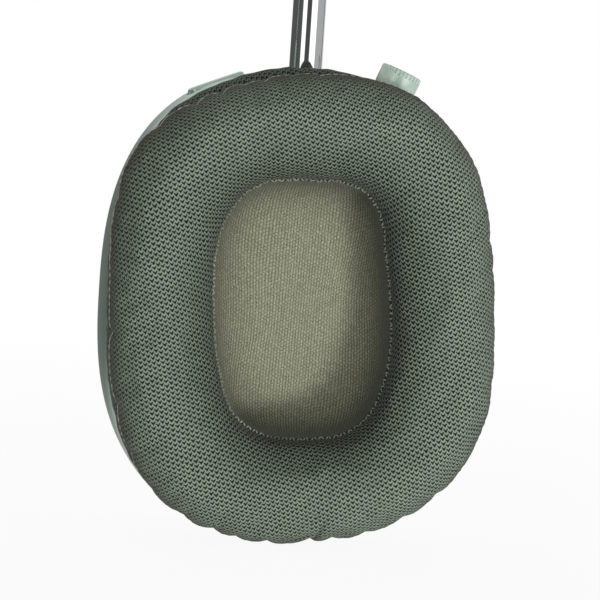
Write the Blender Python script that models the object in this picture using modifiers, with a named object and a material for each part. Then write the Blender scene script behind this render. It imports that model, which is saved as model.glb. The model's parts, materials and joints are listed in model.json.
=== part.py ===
"""Over-ear headset with fold-flat cups, modelled as an assembly of separate pieces.

Frame: +Z up, metres. The headset stands upright with both cups turned flat, so that the ear
cushions face -Y and the outer faces of the cups face +Y. +X is the wearer's right. The origin
is under the middle of the object, on the surface that the cups stand on.

Each cup has its own frame: x across the cup, y from the ear (-) to the outer face (+), z up,
with y = 0 on the stem's axis and z = 0 at the middle of the cup.
"""

import math

import bmesh
import bpy
from mathutils import Matrix, Vector

MM = 0.001
RUNNING_GAP = 0.3 * MM  # between pieces that touch, slide or turn on each other

# Cup outline: a superellipse, as wide and high as the shell
CUP_WIDTH = 83.4 * MM
CUP_HEIGHT = 100.4 * MM
CUP_SQUARENESS = 2.55
SHELL_FRONT = -10.0 * MM  # open rim, towards the ear
SHELL_BACK = 19.0 * MM  # outer face
SHELL_WALL = 1.8 * MM
SHELL_SIDE_END = 4.0 * MM  # where the side wall starts to round over
SHELL_FACE_INSET = 22.0 * MM  # from the outline to the flat middle of the outer face
SHELL_ROUNDNESS = 2.4
SHELL_RIM_ROUND = 0.9 * MM
BOARD_BOSS_RADIUS = 1.6 * MM
BOARD_BOSS_LENGTH = 2.6 * MM

# Ear cushion
CUSHION_MARGIN = 1.0 * MM  # from the shell's outline in to the cushion's
CUSHION_FRONT = -31.6 * MM  # top of the crown
CUSHION_SEAM = -19.5 * MM  # seam between front panel and side band
CUSHION_BACK = -12.5 * MM
CUSHION_RING_WIDTH = 22.1 * MM
CUSHION_EDGE = -22.5 * MM  # seam at the ear opening
CUSHION_FULLNESS = 2.3
CUSHION_BAND_INSET = 2.4 * MM
GATHER_DEPTH = 0.6 * MM  # how far the cover is drawn in between gathers, at its seam
PLATE_THICKNESS = 1.5 * MM
PLATE_INSET = 1.4 * MM
PLATE_OVERLAP = 3.0 * MM  # how far the plate reaches in under the ring's inner wall
EAR_MESH_THICKNESS = 0.8 * MM
EAR_MESH_FLOOR_INSET = 13.0 * MM
EAR_MESH_FLOOR_GAP = 0.7 * MM

# Inner cover and loudspeaker
BAFFLE_THICKNESS = 2.0 * MM
DRIVER_RADIUS = 20.0 * MM
DRIVER_FLANGE_LAP = 1.5 * MM
DRIVER_DEPTH = 8.5 * MM
BASKET_WALL = 1.2 * MM
MAGNET_RADIUS = 11.4 * MM
MAGNET_DEPTH = 7.0 * MM
COIL_RADIUS = 8.9 * MM
COIL_WALL = 0.8 * MM
COIL_LENGTH = 6.0 * MM
COIL_IN_GAP = 3.0 * MM
DIAPHRAGM_THICKNESS = 0.5 * MM
BOARD_HALF_WIDTH = 17.0 * MM
BOARD_HALF_HEIGHT = 25.0 * MM
BOARD_THICKNESS = 1.2 * MM
BATTERY_SIZE = (34.0 * MM, 9.0 * MM, 18.0 * MM)
BATTERY_DROP = 33.0 * MM  # middle of the cell, below the middle of the cup

# Telescoping stem and its swivel in the top of the cup
STEM_SPACING = 130.0 * MM  # between the two stem axes
STEM_RADIUS = 3.6 * MM
STEM_JOURNAL_RADIUS = 2.9 * MM
STEM_GROOVE_RADIUS = 2.2 * MM
STEM_SHOWN = 21.6 * MM  # bright stem between the cup and the collar at rest
STEM_IN_ARM = 27.0 * MM
STEM_RETRACT = 14.0 * MM
TILT_AXIS_DROP = 14.2 * MM  # below the top of the cup
TILT_LIMIT = math.radians(8.0)
PIVOT_RADIUS = 6.2 * MM
PIVOT_BELOW_AXIS = 5.0 * MM
PIVOT_ABOVE_AXIS = 8.6 * MM
PIVOT_WAIST = 5.5 * MM  # above the tilt axis
PIVOT_NECK_RADIUS = 5.2 * MM
TRUNNION_RADIUS = 2.0 * MM
TRUNNION_REACH = 9.9 * MM
CRADLE_WALL = 2.6 * MM
CRADLE_HEIGHT = 10.0 * MM
CRADLE_FRONT = -4.0 * MM
CRADLE_REACH = 3.8 * MM  # from the pivot block back to the base
CRADLE_BASE = 3.3 * MM
CRADLE_DROP = 5.4 * MM
CLIP_RADIUS = 4.8 * MM
CLIP_THICKNESS = 1.6 * MM
SHIELD_THICKNESS = 1.2 * MM
SHIELD_HALF_WIDTH = 5.4 * MM
SHIELD_HALF_ANGLE = math.radians(30.0)

# Controls on the right cup
CROWN_X = 19.5 * MM
CROWN_RADIUS = 4.6 * MM
CROWN_HEIGHT = 4.3 * MM
CROWN_STANDOFF = 0.8 * MM
CROWN_FLUTES = 24
CROWN_FLUTE_DEPTH = 0.3 * MM
CROWN_FLUTE_LENGTH = 2.0 * MM
CROWN_ROUND = 0.5 * MM
SPINDLE_RADIUS = 1.3 * MM
SPINDLE_LENGTH = 10.5 * MM
SLEEVE_WALL = 0.7 * MM
CROWN_BUSH_WALL = 0.8 * MM
CROWN_BUSH_LENGTH = 7.0 * MM
CROWN_BUSH_FLANGE = 1.2 * MM
PRESS_TRAVEL = 0.4 * MM
BUTTON_X = -19.5 * MM
BUTTON_LENGTH = 12.8 * MM
BUTTON_WIDTH = 4.2 * MM
BUTTON_PROUD = 0.6 * MM
BUTTON_FLANGE_LAP = 0.9 * MM
BUTTON_FLANGE_SEAT = 3.4 * MM  # flange below the cup's outer surface
BUTTON_FLANGE_THICKNESS = 1.0 * MM
BUTTON_PUSHER = 1.4 * MM
SWITCH_SIZE = (4.0 * MM, 3.0 * MM, 1.5 * MM)
PORT_LENGTH = 9.4 * MM
PORT_WIDTH = 3.4 * MM
PORT_DEPTH = 6.5 * MM
PORT_WALL = 1.2 * MM
LIGHT_X = 10.0 * MM
LIGHT_RADIUS = 0.7 * MM
MIC_X = -17.0 * MM
MIC_LENGTH = 6.0 * MM
MIC_WIDTH = 1.6 * MM

# Headband
ARM_RADIUS = 5.2 * MM
ARM_BORE_RADIUS = 4.7 * MM
ARM_BORE_LENGTH = 38.2 * MM
ARM_HEAD_LENGTH = 9.0 * MM
COLLAR_HEIGHT = 3.0 * MM
ARM_BUSH_LENGTH = 5.0 * MM
SLIDER_HEIGHT = 2.0 * MM
ARCH_RISE = 38.6 * MM  # from the top of the arm's bore to the middle of the rails
ARCH_SQUARENESS = 2.3
RAIL_RADIUS = 3.1 * MM
RAIL_START = 0.7 * MM  # each rail from the middle, inside the arm
RAIL_FIRST_ANGLE = 0.03  # along the arch, where the rails start
RAIL_SPREAD = 15.8 * MM  # each rail from the middle, at the top of the arch
CANOPY_THICKNESS = 1.6 * MM
CANOPY_SAG = 4.5 * MM
CANOPY_START = 0.42  # angle along the arch where the mesh starts

# How finely the curved forms are faceted
OUTLINE_SIDES = 40
CUSHION_SIDES = 72
PLATE_SIDES = 32
TURNED_STEPS = 16
RAIL_STEPS = 26
CANOPY_STEPS = 20
CANOPY_WIDTH_STEPS = 6

# Worked out from the sizes above
CUP_A = CUP_WIDTH / 2
CUP_B = CUP_HEIGHT / 2
CUSHION_A = CUP_A - CUSHION_MARGIN
CUSHION_B = CUP_B - CUSHION_MARGIN
CUP_MIDDLE = CUP_B  # the cup stands on its lowest point
STEM_Y = -(CUSHION_FRONT + SHELL_BACK) / 2  # centres the object over the origin
TILT_AXIS = CUP_B - TILT_AXIS_DROP
INNER_BACK = SHELL_BACK - SHELL_WALL
BAFFLE_BACK = SHELL_FRONT + 0.1 * MM + BAFFLE_THICKNESS
PLATE_FRONT = CUSHION_BACK + RUNNING_GAP
COLLAR_BOTTOM = CUP_MIDDLE + CUP_B + STEM_SHOWN
ARM_BOTTOM = COLLAR_BOTTOM + COLLAR_HEIGHT + RUNNING_GAP
ARM_BORE_TOP = ARM_BOTTOM + ARM_BORE_LENGTH
STEM_BORE_RADIUS = STEM_RADIUS + RUNNING_GAP
PIVOT_TOP = TILT_AXIS + PIVOT_ABOVE_AXIS


# ---------------------------------------------------------------- scene helpers


def clear_scene():
    """Removes the startup scene's objects."""
    for obj in list(bpy.data.objects):
        bpy.data.objects.remove(obj)


def new_collection(name):
    made = bpy.data.collections.new(name)
    bpy.context.scene.collection.children.link(made)
    return made


def new_material(name, colour, roughness, metallic=0.0):
    made = bpy.data.materials.new(name)
    made.use_nodes = True
    shader = made.node_tree.nodes["Principled BSDF"]
    shader.inputs["Base Color"].default_value = (*colour, 1.0)
    shader.inputs["Roughness"].default_value = roughness
    shader.inputs["Metallic"].default_value = metallic
    made.diffuse_color = (*colour, 1.0)
    return made


def new_axis(name, parent=None, location=(0, 0, 0), turn_y=0.0):
    """An empty that stands on a joint's axis; turn_y leans its z over towards +x."""
    made = bpy.data.objects.new(name, None)
    PARTS.objects.link(made)
    made.parent = parent
    made.location = location
    made.rotation_euler = (0, turn_y, 0)
    return made


def place(obj, parent, location, rotation, material, collection):
    collection.objects.link(obj)
    obj.parent = parent
    obj.location = location
    obj.rotation_euler = rotation
    if material is not None:
        obj.data.materials.append(material)
    return obj


def piece(name, mesh, parent, material, location=(0, 0, 0), rotation=(0, 0, 0)):
    """One visible sub-part."""
    return place(bpy.data.objects.new(name, mesh), parent, location, rotation, material, PARTS)


def helper(name, mesh, parent, location=(0, 0, 0), rotation=(0, 0, 0)):
    """A shape that cuts or joins a sub-part, and isn't one."""
    made = place(bpy.data.objects.new(name, mesh), parent, location, rotation, None, HELPERS)
    made.hide_render = True
    made.display_type = "WIRE"
    return made


def combine(target, tool, operation):
    step = target.modifiers.new(tool.name, "BOOLEAN")
    step.object = tool
    step.operation = operation
    step.solver = "EXACT"


def cut(target, *cutters):
    for cutter in cutters:
        combine(target, cutter, "DIFFERENCE")


def join(target, *additions):
    for addition in additions:
        combine(target, addition, "UNION")


# ---------------------------------------------------------------- shape helpers


def power(value, exponent):
    """A signed power, for points on a superellipse."""
    return math.copysign(abs(value) ** exponent, value)


def oval(a, b, y, sides=OUTLINE_SIDES, squareness=CUP_SQUARENESS):
    """A superellipse ring of half-width a and half-height b, in the plane at depth y."""
    ring = []
    for i in range(sides):
        angle = 2 * math.pi * i / sides
        x = a * power(math.cos(angle), 2 / squareness)
        z = b * power(math.sin(angle), 2 / squareness)
        ring.append(Vector((x, y, z)))
    return ring


def pill(length, width, z, arc_steps=6):
    """A ring with straight sides and round ends, in the plane at height z."""
    radius = width / 2
    ring = []
    for side in (1, -1):
        for i in range(arc_steps + 1):
            angle = -math.pi / 2 + math.pi * i / arc_steps
            x = side * (length / 2 - radius + radius * math.cos(angle))
            ring.append(Vector((x, side * radius * math.sin(angle), z)))
    return ring


def shoulder(depths, insets, steps, roundness=SHELL_ROUNDNESS):
    """(inset, depth) pairs along a quarter superellipse, from a side wall over to a face."""
    pairs = []
    for i in range(steps + 1):
        angle = math.pi / 2 * i / steps
        along = math.sin(angle) ** (2 / roundness)
        across = 1 - math.cos(angle) ** (2 / roundness) if i < steps else 1.0
        inset = insets[0] + (insets[1] - insets[0]) * across
        pairs.append((inset, depths[0] + (depths[1] - depths[0]) * along))
    return pairs


def loft(name, rings, closed=False):
    """A skin over rings of equal count: capped at both ends, or closed into a ring."""
    shape = bmesh.new()
    rows = [[shape.verts.new(point) for point in ring] for ring in rings]
    pairs = list(zip(rows, rows[1:]))
    if closed:
        pairs.append((rows[-1], rows[0]))
    for lower, upper in pairs:
        for i, corner in enumerate(lower):
            beside = (i + 1) % len(lower)
            shape.faces.new((corner, lower[beside], upper[beside], upper[i]))
    if not closed:
        shape.faces.new(rows[0])
        shape.faces.new(rows[-1])
    bmesh.ops.recalc_face_normals(shape, faces=shape.faces)
    return finished(name, shape)


def finished(name, shape):
    """The mesh of a bmesh, shaded smooth but for its sharp edges."""
    mesh = bpy.data.meshes.new(name)
    shape.to_mesh(mesh)
    shape.free()
    mesh.shade_smooth()
    mesh.set_sharp_from_angle(angle=math.radians(35))
    return mesh


def rod(name, radius, start, end, sides=TURNED_STEPS):
    """A round bar along z from start to end."""
    shape = bmesh.new()
    bmesh.ops.create_cone(
        shape, cap_ends=True, segments=sides, radius1=radius, radius2=radius, depth=end - start
    )
    bmesh.ops.translate(shape, verts=shape.verts, vec=(0, 0, (start + end) / 2))
    return finished(name, shape)


def block(name, low, high):
    """A box between two corners."""
    shape = bmesh.new()
    bmesh.ops.create_cube(shape, size=1.0)
    size = [h - l for l, h in zip(low, high)]
    bmesh.ops.scale(shape, verts=shape.verts, vec=size)
    bmesh.ops.translate(shape, verts=shape.verts, vec=[(l + h) / 2 for l, h in zip(low, high)])
    return finished(name, shape)


def turned(name, profile, parent, material, location=(0, 0, 0), facing_ear=False, ring=False):
    """A turned piece: (radius, height) points that run down the outer side, about z.

    A ring's profile closes on itself. facing_ear lays the axis down, so height counts towards
    the ear.
    """
    mesh = bpy.data.meshes.new(name)
    edges = [(i, i + 1) for i in range(len(profile) - 1)]
    if ring:
        edges.append((len(profile) - 1, 0))
    mesh.from_pydata([(r, 0, h) for r, h in profile], edges, [])
    rotation = (math.pi / 2, 0, 0) if facing_ear else (0, 0, 0)
    made = piece(name, mesh, parent, material, location, rotation)
    spin = made.modifiers.new("turn", "SCREW")
    spin.steps = TURNED_STEPS
    spin.render_steps = TURNED_STEPS
    spin.use_merge_vertices = True
    spin.merge_threshold = 0.00001
    spin.use_smooth_shade = True
    return made


def tube(inner, outer, low, high):
    """The profile of a plain tube, for turned with ring set."""
    return [(outer, high), (outer, low), (inner, low), (inner, high)]


def soften(obj, width, segments=1):
    """Rounds the sharp edges of a plain piece."""
    bevel = obj.modifiers.new("edges", "BEVEL")
    bevel.width = width
    bevel.segments = segments
    bevel.limit_method = "ANGLE"
    bevel.angle_limit = math.radians(50)


# ---------------------------------------------------------------- cup shell


def shell_profile():
    """(inset, depth) of the shell, from the middle of its inside, round the rim, to its back."""
    inside = shoulder((SHELL_SIDE_END, INNER_BACK), (SHELL_WALL, SHELL_FACE_INSET), 6)
    outside = shoulder((SHELL_SIDE_END, SHELL_BACK), (0.0, SHELL_FACE_INSET), 7)
    rim = [
        (SHELL_WALL, SHELL_FRONT),
        (SHELL_RIM_ROUND, SHELL_FRONT),
        (0.0, SHELL_FRONT + SHELL_RIM_ROUND),
    ]
    return inside[::-1] + rim + outside


def rim_place(x, below=False):
    """(point, lean) of a spot on the cup's outer wall at x: where it is, and its normal's angle."""
    z = CUP_B * (1 - abs(x / CUP_A) ** CUP_SQUARENESS) ** (1 / CUP_SQUARENESS)
    normal_x = power(x / CUP_A, CUP_SQUARENESS - 1) / CUP_A
    normal_z = power(z / CUP_B, CUP_SQUARENESS - 1) / CUP_B
    if below:
        z, normal_z = -z, -normal_z
    return Vector((x, 0, z)), math.atan2(normal_x, normal_z)


def wall_axis(name, cup, x, below=False):
    """An empty on the cup's outer wall, with its z pointing straight out."""
    point, lean = rim_place(x, below)
    return new_axis(name, cup, point, lean)


def pill_cutter(name, axis, length, width, depth=None):
    reach = depth or 3 * SHELL_WALL
    return helper(name, loft(name, [pill(length, width, -reach), pill(length, width, reach)]), axis)


def ear_cup_shell(side, cup):
    """The metal shell: one drawn cup with a flat outer face and bosses for the board."""
    rings = [oval(CUP_A - inset, CUP_B - inset, y) for inset, y in shell_profile()]
    shell = piece(f"{side}_housing", loft(f"{side}_housing", rings), cup, METAL)
    for i, (x, z) in enumerate(board_fixings()):
        boss = rod(f"{side}_boss_{i}", BOARD_BOSS_RADIUS, 0, BOARD_BOSS_LENGTH + SHELL_WALL / 2, 8)
        start = (x, INNER_BACK + SHELL_WALL / 2, z)
        join(shell, helper(boss.name, boss, cup, start, (math.pi / 2, 0, 0)))
    reach = (TILT_AXIS_DROP * math.tan(TILT_LIMIT) + STEM_RADIUS) * 2 + 2 * RUNNING_GAP
    top = new_axis(f"{side}_stem_slot_axis", cup, (0, 0, CUP_B))
    top.rotation_euler = (0, 0, math.pi / 2)
    cut(shell, pill_cutter(f"{side}_stem_slot", top, reach, 2 * (STEM_RADIUS + 2 * RUNNING_GAP)))
    microphone(side, cup, shell)
    return shell


def microphone(side, cup, shell):
    """A slot low on the shell with its grille set in."""
    axis = wall_axis(f"{side}_mic_axis", cup, MIC_X, below=True)
    gap = 2 * RUNNING_GAP
    cut(shell, pill_cutter(f"{side}_mic_slot", axis, MIC_LENGTH + gap, MIC_WIDTH + gap))
    rings = [pill(MIC_LENGTH, MIC_WIDTH, -SHELL_WALL, 4), pill(MIC_LENGTH, MIC_WIDTH, -0.4 * MM, 4)]
    piece(f"{side}_mic_grille", loft("mic_grille", rings), axis, DARK_MESH)


def board_fixings():
    """(x, z) of the bosses that carry the circuit board."""
    low = -BOARD_HALF_HEIGHT * 0.72
    high = BOARD_HALF_HEIGHT * 0.36
    return ((0, low), (BOARD_HALF_WIDTH * 0.62, high), (-BOARD_HALF_WIDTH * 0.62, high))


# ---------------------------------------------------------------- cushion


def cushion_profile():
    """(inset, depth) round the cushion's section: front crown, ear wall, back, side band."""
    steps = 9
    middle = CUSHION_RING_WIDTH / 2
    section = []
    for i in range(steps + 1):
        angle = math.pi * i / steps
        inset = middle - middle * power(math.cos(angle), 2 / CUSHION_FULLNESS)
        base = CUSHION_SEAM + (CUSHION_EDGE - CUSHION_SEAM) * i / steps
        rise = abs(math.sin(angle)) ** (2 / CUSHION_FULLNESS) if 0 < i < steps else 0.0
        section.append((inset, base + (CUSHION_FRONT - base) * rise))
    section.append((CUSHION_RING_WIDTH, (CUSHION_EDGE + CUSHION_BACK) / 2))
    section.append((CUSHION_RING_WIDTH - CUSHION_BAND_INSET / 2, CUSHION_BACK))
    section.append((CUSHION_BAND_INSET, CUSHION_BACK))
    section.append((CUSHION_BAND_INSET * 0.6, (CUSHION_SEAM + CUSHION_BACK) / 2))
    return section


def gathered(ring):
    """Draws every other point of a seam in, so that the cover puckers along it."""
    return [
        point - Vector((point.x, 0, point.z)).normalized() * (GATHER_DEPTH if i % 2 else 0.0)
        for i, point in enumerate(ring)
    ]


def ear_cushion(side, cup):
    """The stuffed ring, the plate that it is sewn to, and the fabric dish in its opening."""
    rings = [
        oval(CUSHION_A - inset, CUSHION_B - inset, y, CUSHION_SIDES)
        for inset, y in cushion_profile()
    ]
    rings[0] = gathered(rings[0])
    piece(f"{side}_cushion", loft("cushion", rings, closed=True), cup, CUSHION_KNIT)

    opening = CUSHION_RING_WIDTH - PLATE_OVERLAP
    back = PLATE_FRONT + PLATE_THICKNESS
    edges = ((PLATE_INSET, PLATE_FRONT), (PLATE_INSET, back), (opening, back), (opening, PLATE_FRONT))
    rings = [oval(CUSHION_A - inset, CUSHION_B - inset, y, PLATE_SIDES) for inset, y in edges]
    piece(f"{side}_cushion_plate", loft("cushion_plate", rings, closed=True), cup, PLASTIC)

    edge = CUSHION_RING_WIDTH + 1.3 * RUNNING_GAP
    floor = SHELL_FRONT - EAR_MESH_FLOOR_GAP
    reach = edge + EAR_MESH_FLOOR_INSET
    back_side = shoulder((CUSHION_EDGE, floor), (edge, reach), 5)
    inner = edge + EAR_MESH_THICKNESS
    front_side = shoulder((CUSHION_EDGE, floor - EAR_MESH_THICKNESS), (inner, reach), 5)
    rings = [
        oval(CUSHION_A - inset, CUSHION_B - inset, y, PLATE_SIDES)
        for inset, y in back_side[::-1] + front_side
    ]
    piece(f"{side}_ear_mesh", loft("ear_mesh", rings), cup, LINING_KNIT)


# ---------------------------------------------------------------- inner cover and driver


def inner_cover(side, cup):
    """The cover that closes the shell, with a round hole for the driver."""
    front = BAFFLE_BACK - BAFFLE_THICKNESS
    edge = SHELL_WALL + RUNNING_GAP
    outer = [oval(CUP_A - edge, CUP_B - edge, y) for y in (front, BAFFLE_BACK)]
    hole = DRIVER_RADIUS - DRIVER_FLANGE_LAP / 2
    inner = [oval(hole, hole, y, squareness=2.0) for y in (BAFFLE_BACK, front)]
    piece(f"{side}_baffle", loft("baffle", outer + inner, closed=True), cup, PLASTIC)


def driver(side, cup):
    """The loudspeaker: basket, magnet, voice coil and diaphragm, on one axis through the cup."""
    top = -(BAFFLE_BACK + RUNNING_GAP)  # heights count towards the ear
    flange = DRIVER_RADIUS + DRIVER_FLANGE_LAP
    bottom = top - DRIVER_DEPTH
    seat = DRIVER_RADIUS - DRIVER_FLANGE_LAP
    waist = top - DRIVER_DEPTH / 2
    bore = MAGNET_RADIUS + RUNNING_GAP
    basket = [
        (flange, top),
        (flange, top - BASKET_WALL),
        (seat, top - BASKET_WALL),
        (seat, waist),
        (seat - BASKET_WALL, bottom),
        (bore, bottom),
        (bore, bottom + BASKET_WALL),
        (seat - 2 * BASKET_WALL, bottom + BASKET_WALL),
        (seat - BASKET_WALL, waist),
        (seat - BASKET_WALL, top),
    ]
    turned(f"{side}_driver_basket", basket, cup, PLASTIC, facing_ear=True, ring=True)

    face = bottom + BASKET_WALL
    outer_gap = COIL_RADIUS + RUNNING_GAP
    inner_gap = COIL_RADIUS - COIL_WALL - RUNNING_GAP
    floor = face - COIL_IN_GAP - RUNNING_GAP
    magnet = [
        (0, face),
        (inner_gap, face),
        (inner_gap, floor),
        (outer_gap, floor),
        (outer_gap, face),
        (MAGNET_RADIUS, face),
        (MAGNET_RADIUS, face - MAGNET_DEPTH),
        (0, face - MAGNET_DEPTH),
    ]
    turned(f"{side}_driver_magnet", magnet, cup, STEEL, facing_ear=True)

    coil_low = face - COIL_IN_GAP
    coil_top = coil_low + COIL_LENGTH
    coil = tube(COIL_RADIUS - COIL_WALL, COIL_RADIUS, coil_low, coil_top)
    turned(f"{side}_voice_coil", coil, cup, COPPER, facing_ear=True, ring=True)

    rest = coil_top + RUNNING_GAP
    rim = seat - BASKET_WALL - RUNNING_GAP
    fall = DIAPHRAGM_THICKNESS
    skin = [
        (0, rest + 3 * fall),
        (COIL_RADIUS * 0.6, rest + 2.4 * fall),
        (COIL_RADIUS, rest + fall),
        (rim * 0.8, rest + 3 * fall),
        (rim, rest + 2 * fall),
    ]
    under = [(r, h - fall) for r, h in skin[::-1]]
    turned(f"{side}_diaphragm", skin + under, cup, MEMBRANE, facing_ear=True)


def circuit_board(side, cup):
    """An oval board on the shell's bosses, with its main chips."""
    back = INNER_BACK - BOARD_BOSS_LENGTH - RUNNING_GAP
    front = back - BOARD_THICKNESS
    rings = [oval(BOARD_HALF_WIDTH, BOARD_HALF_HEIGHT, y, 24, 3.0) for y in (front, back)]
    board = piece(f"{side}_board", loft("board", rings), cup, BOARD_GREEN)
    for i, (x, z, size) in enumerate(((0, 4, 12), (-5, -12, 7), (6, -13, 6))):
        half = size * MM / 2
        low = (x * MM - half, front - 1.1 * MM, z * MM - half)
        high = (x * MM + half, front + BOARD_THICKNESS / 2, z * MM + half)
        join(board, helper(f"{side}_chip_{i}", block("chip", low, high), cup))


def battery(cup):
    """The flat cell in the left cup, under the driver, against the inner cover."""
    width, depth, height = BATTERY_SIZE
    front = BAFFLE_BACK + RUNNING_GAP
    low = (-width / 2, front, -BATTERY_DROP - height / 2)
    high = (width / 2, front + depth, -BATTERY_DROP + height / 2)
    soften(piece("battery", block("battery", low, high), cup, CELL_WRAP), 1.2 * MM, 2)


# ---------------------------------------------------------------- stem and pivot


def stem(side, axis):
    """The polished stem, turned down at its foot, and the clip that holds the pivot on it."""
    low = -PIVOT_BELOW_AXIS - RUNNING_GAP
    clip_low = low - CLIP_THICKNESS
    foot = TILT_AXIS + clip_low - 2 * RUNNING_GAP - CLIP_THICKNESS / 2
    groove = (TILT_AXIS + clip_low - RUNNING_GAP, TILT_AXIS + low + RUNNING_GAP)
    shoulder_z = PIVOT_TOP + RUNNING_GAP
    top = COLLAR_BOTTOM + STEM_IN_ARM - CUP_MIDDLE
    profile = [
        (0, top),
        (STEM_RADIUS, top),
        (STEM_RADIUS, shoulder_z),
        (STEM_JOURNAL_RADIUS, shoulder_z),
        (STEM_JOURNAL_RADIUS, groove[1]),
        (STEM_GROOVE_RADIUS, groove[1]),
        (STEM_GROOVE_RADIUS, groove[0]),
        (STEM_JOURNAL_RADIUS, groove[0]),
        (STEM_JOURNAL_RADIUS, foot),
        (0, foot),
    ]
    middle = (0, 0, CUP_MIDDLE)
    turned(f"{side}_stem", profile, axis, CHROME, middle)

    clip = tube(
        STEM_GROOVE_RADIUS + RUNNING_GAP, CLIP_RADIUS, TILT_AXIS + clip_low, TILT_AXIS + low
    )
    turned(f"{side}_stem_clip", clip, axis, STEEL, middle, ring=True)

    slider = tube(
        STEM_BORE_RADIUS, ARM_BORE_RADIUS - RUNNING_GAP, top - SLIDER_HEIGHT - 0.4 * MM, top - 0.4 * MM
    )
    turned(f"{side}_stem_slider", slider, axis, PLASTIC, middle, ring=True)


def pivot(side, axis):
    """The block that swivels on the stem and tilts on its trunnions, and its dust shield."""
    low = TILT_AXIS - PIVOT_BELOW_AXIS
    waist = TILT_AXIS + PIVOT_WAIST
    bore = STEM_JOURNAL_RADIUS + RUNNING_GAP
    profile = [
        (PIVOT_NECK_RADIUS, PIVOT_TOP),
        (PIVOT_NECK_RADIUS, waist),
        (PIVOT_RADIUS, waist),
        (PIVOT_RADIUS, low),
        (bore, low),
        (bore, PIVOT_TOP),
    ]
    location = (0, 0, -TILT_AXIS)
    body = turned(f"{side}_pivot_block", profile, axis, STEEL, location, ring=True)
    for name, sign in (("inner", -1), ("outer", 1)):
        start = (bore + PIVOT_RADIUS) / 2
        pin = rod("trunnion", TRUNNION_RADIUS, start, TRUNNION_REACH, 12)
        turn = (0, sign * math.pi / 2, 0)
        join(body, helper(f"{side}_{name}_trunnion", pin, axis, (0, 0, 0), turn))

    top = CUP_B - SHELL_WALL - RUNNING_GAP - TILT_AXIS - RUNNING_GAP
    rings = []
    steps = 8
    for i in range(steps + 1):
        angle = SHIELD_HALF_ANGLE * (2 * i / steps - 1)
        out = Vector((0, math.sin(angle), math.cos(angle)))
        across = Vector((SHIELD_HALF_WIDTH, 0, 0))
        under = out * (top - SHIELD_THICKNESS)
        rings.append([under - across, under + across, out * top + across, out * top - across])
    shield = piece(f"{side}_dust_shield", loft("dust_shield", rings), axis, PLASTIC)
    hole = rod("shield_hole", STEM_RADIUS + 1.5 * RUNNING_GAP, 0, 2 * top)
    cut(shield, helper(f"{side}_shield_hole", hole, axis))


def cradle(side, cup):
    """The bracket in the shell: a foot against its back, and two ears for the trunnions."""
    inner = PIVOT_RADIUS + 3 * RUNNING_GAP
    outer = inner + CRADLE_WALL
    half = CRADLE_HEIGHT / 2
    front = PIVOT_RADIUS + CRADLE_REACH
    back = front + CRADLE_BASE
    low = TILT_AXIS - half
    high = TILT_AXIS + half
    base = block("cradle", (-outer, front, low - CRADLE_DROP), (outer, back, high - CRADLE_BASE / 3))
    body = piece(f"{side}_hinge_cradle", base, cup, STEEL)
    foot = block(
        "foot",
        (-outer / 2, (front + back) / 2, low - CRADLE_DROP / 2),
        (outer / 2, INNER_BACK - 3 * RUNNING_GAP, low + CRADLE_HEIGHT / 5),
    )
    join(body, helper(f"{side}_foot", foot, cup))
    for name, sign in (("inner", -1), ("outer", 1)):
        near = (min(sign * inner, sign * outer), CRADLE_FRONT, low)
        far = (max(sign * inner, sign * outer), (front + back) / 2, high)
        join(body, helper(f"{side}_{name}_ear", block("ear", near, far), cup))
    hole = rod("ear_hole", TRUNNION_RADIUS + RUNNING_GAP, -2 * outer, 2 * outer, 12)
    turn = (0, math.pi / 2, 0)
    cut(body, helper(f"{side}_ear_hole", hole, cup, (0, 0, TILT_AXIS), turn))


# ---------------------------------------------------------------- controls on the right cup


def crown(cup, shell):
    """The fluted crown: it turns on its spindle, and presses with the sleeve round it."""
    axis = wall_axis("crown_axis", cup, CROWN_X)
    sleeve_bore = SPINDLE_RADIUS + RUNNING_GAP
    sleeve_radius = sleeve_bore + SLEEVE_WALL
    bush_bore = sleeve_radius + RUNNING_GAP
    bush_radius = bush_bore + CROWN_BUSH_WALL
    hole = rod("crown_hole", bush_radius + RUNNING_GAP, -4 * SHELL_WALL, 4 * SHELL_WALL, 24)
    cut(shell, helper("crown_hole", hole, axis))

    flange_top = -SHELL_WALL - 5 * RUNNING_GAP
    bush = [
        (bush_radius, -0.2 * MM),
        (bush_radius, flange_top),
        (bush_radius + CROWN_BUSH_FLANGE, flange_top),
        (bush_radius + CROWN_BUSH_FLANGE, flange_top - 1.0 * MM),
        (bush_radius, flange_top - 1.0 * MM),
        (bush_radius, -CROWN_BUSH_LENGTH),
        (bush_bore, -CROWN_BUSH_LENGTH),
        (bush_bore, -0.2 * MM),
    ]
    turned("crown_bush", bush, axis, PLASTIC, ring=True)
    sleeve_top = CROWN_STANDOFF - RUNNING_GAP
    sleeve = tube(sleeve_bore, sleeve_radius, -CROWN_BUSH_LENGTH - 1.0 * MM, sleeve_top)
    turned("crown_sleeve", sleeve, axis, STEEL, ring=True)

    spindle_top = CROWN_STANDOFF + CROWN_HEIGHT / 3
    spindle_foot = spindle_top - SPINDLE_LENGTH
    piece("crown_spindle", rod("crown_spindle", SPINDLE_RADIUS, spindle_foot, spindle_top), axis, STEEL)
    cap = piece("crown_cap", loft("crown_cap", crown_rings()), axis, METAL)
    socket = rod("crown_socket", SPINDLE_RADIUS + RUNNING_GAP, -CROWN_HEIGHT, spindle_top + RUNNING_GAP)
    cut(cap, helper("crown_socket", socket, axis))
    tact_switch("crown_switch", axis, spindle_foot)


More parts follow.
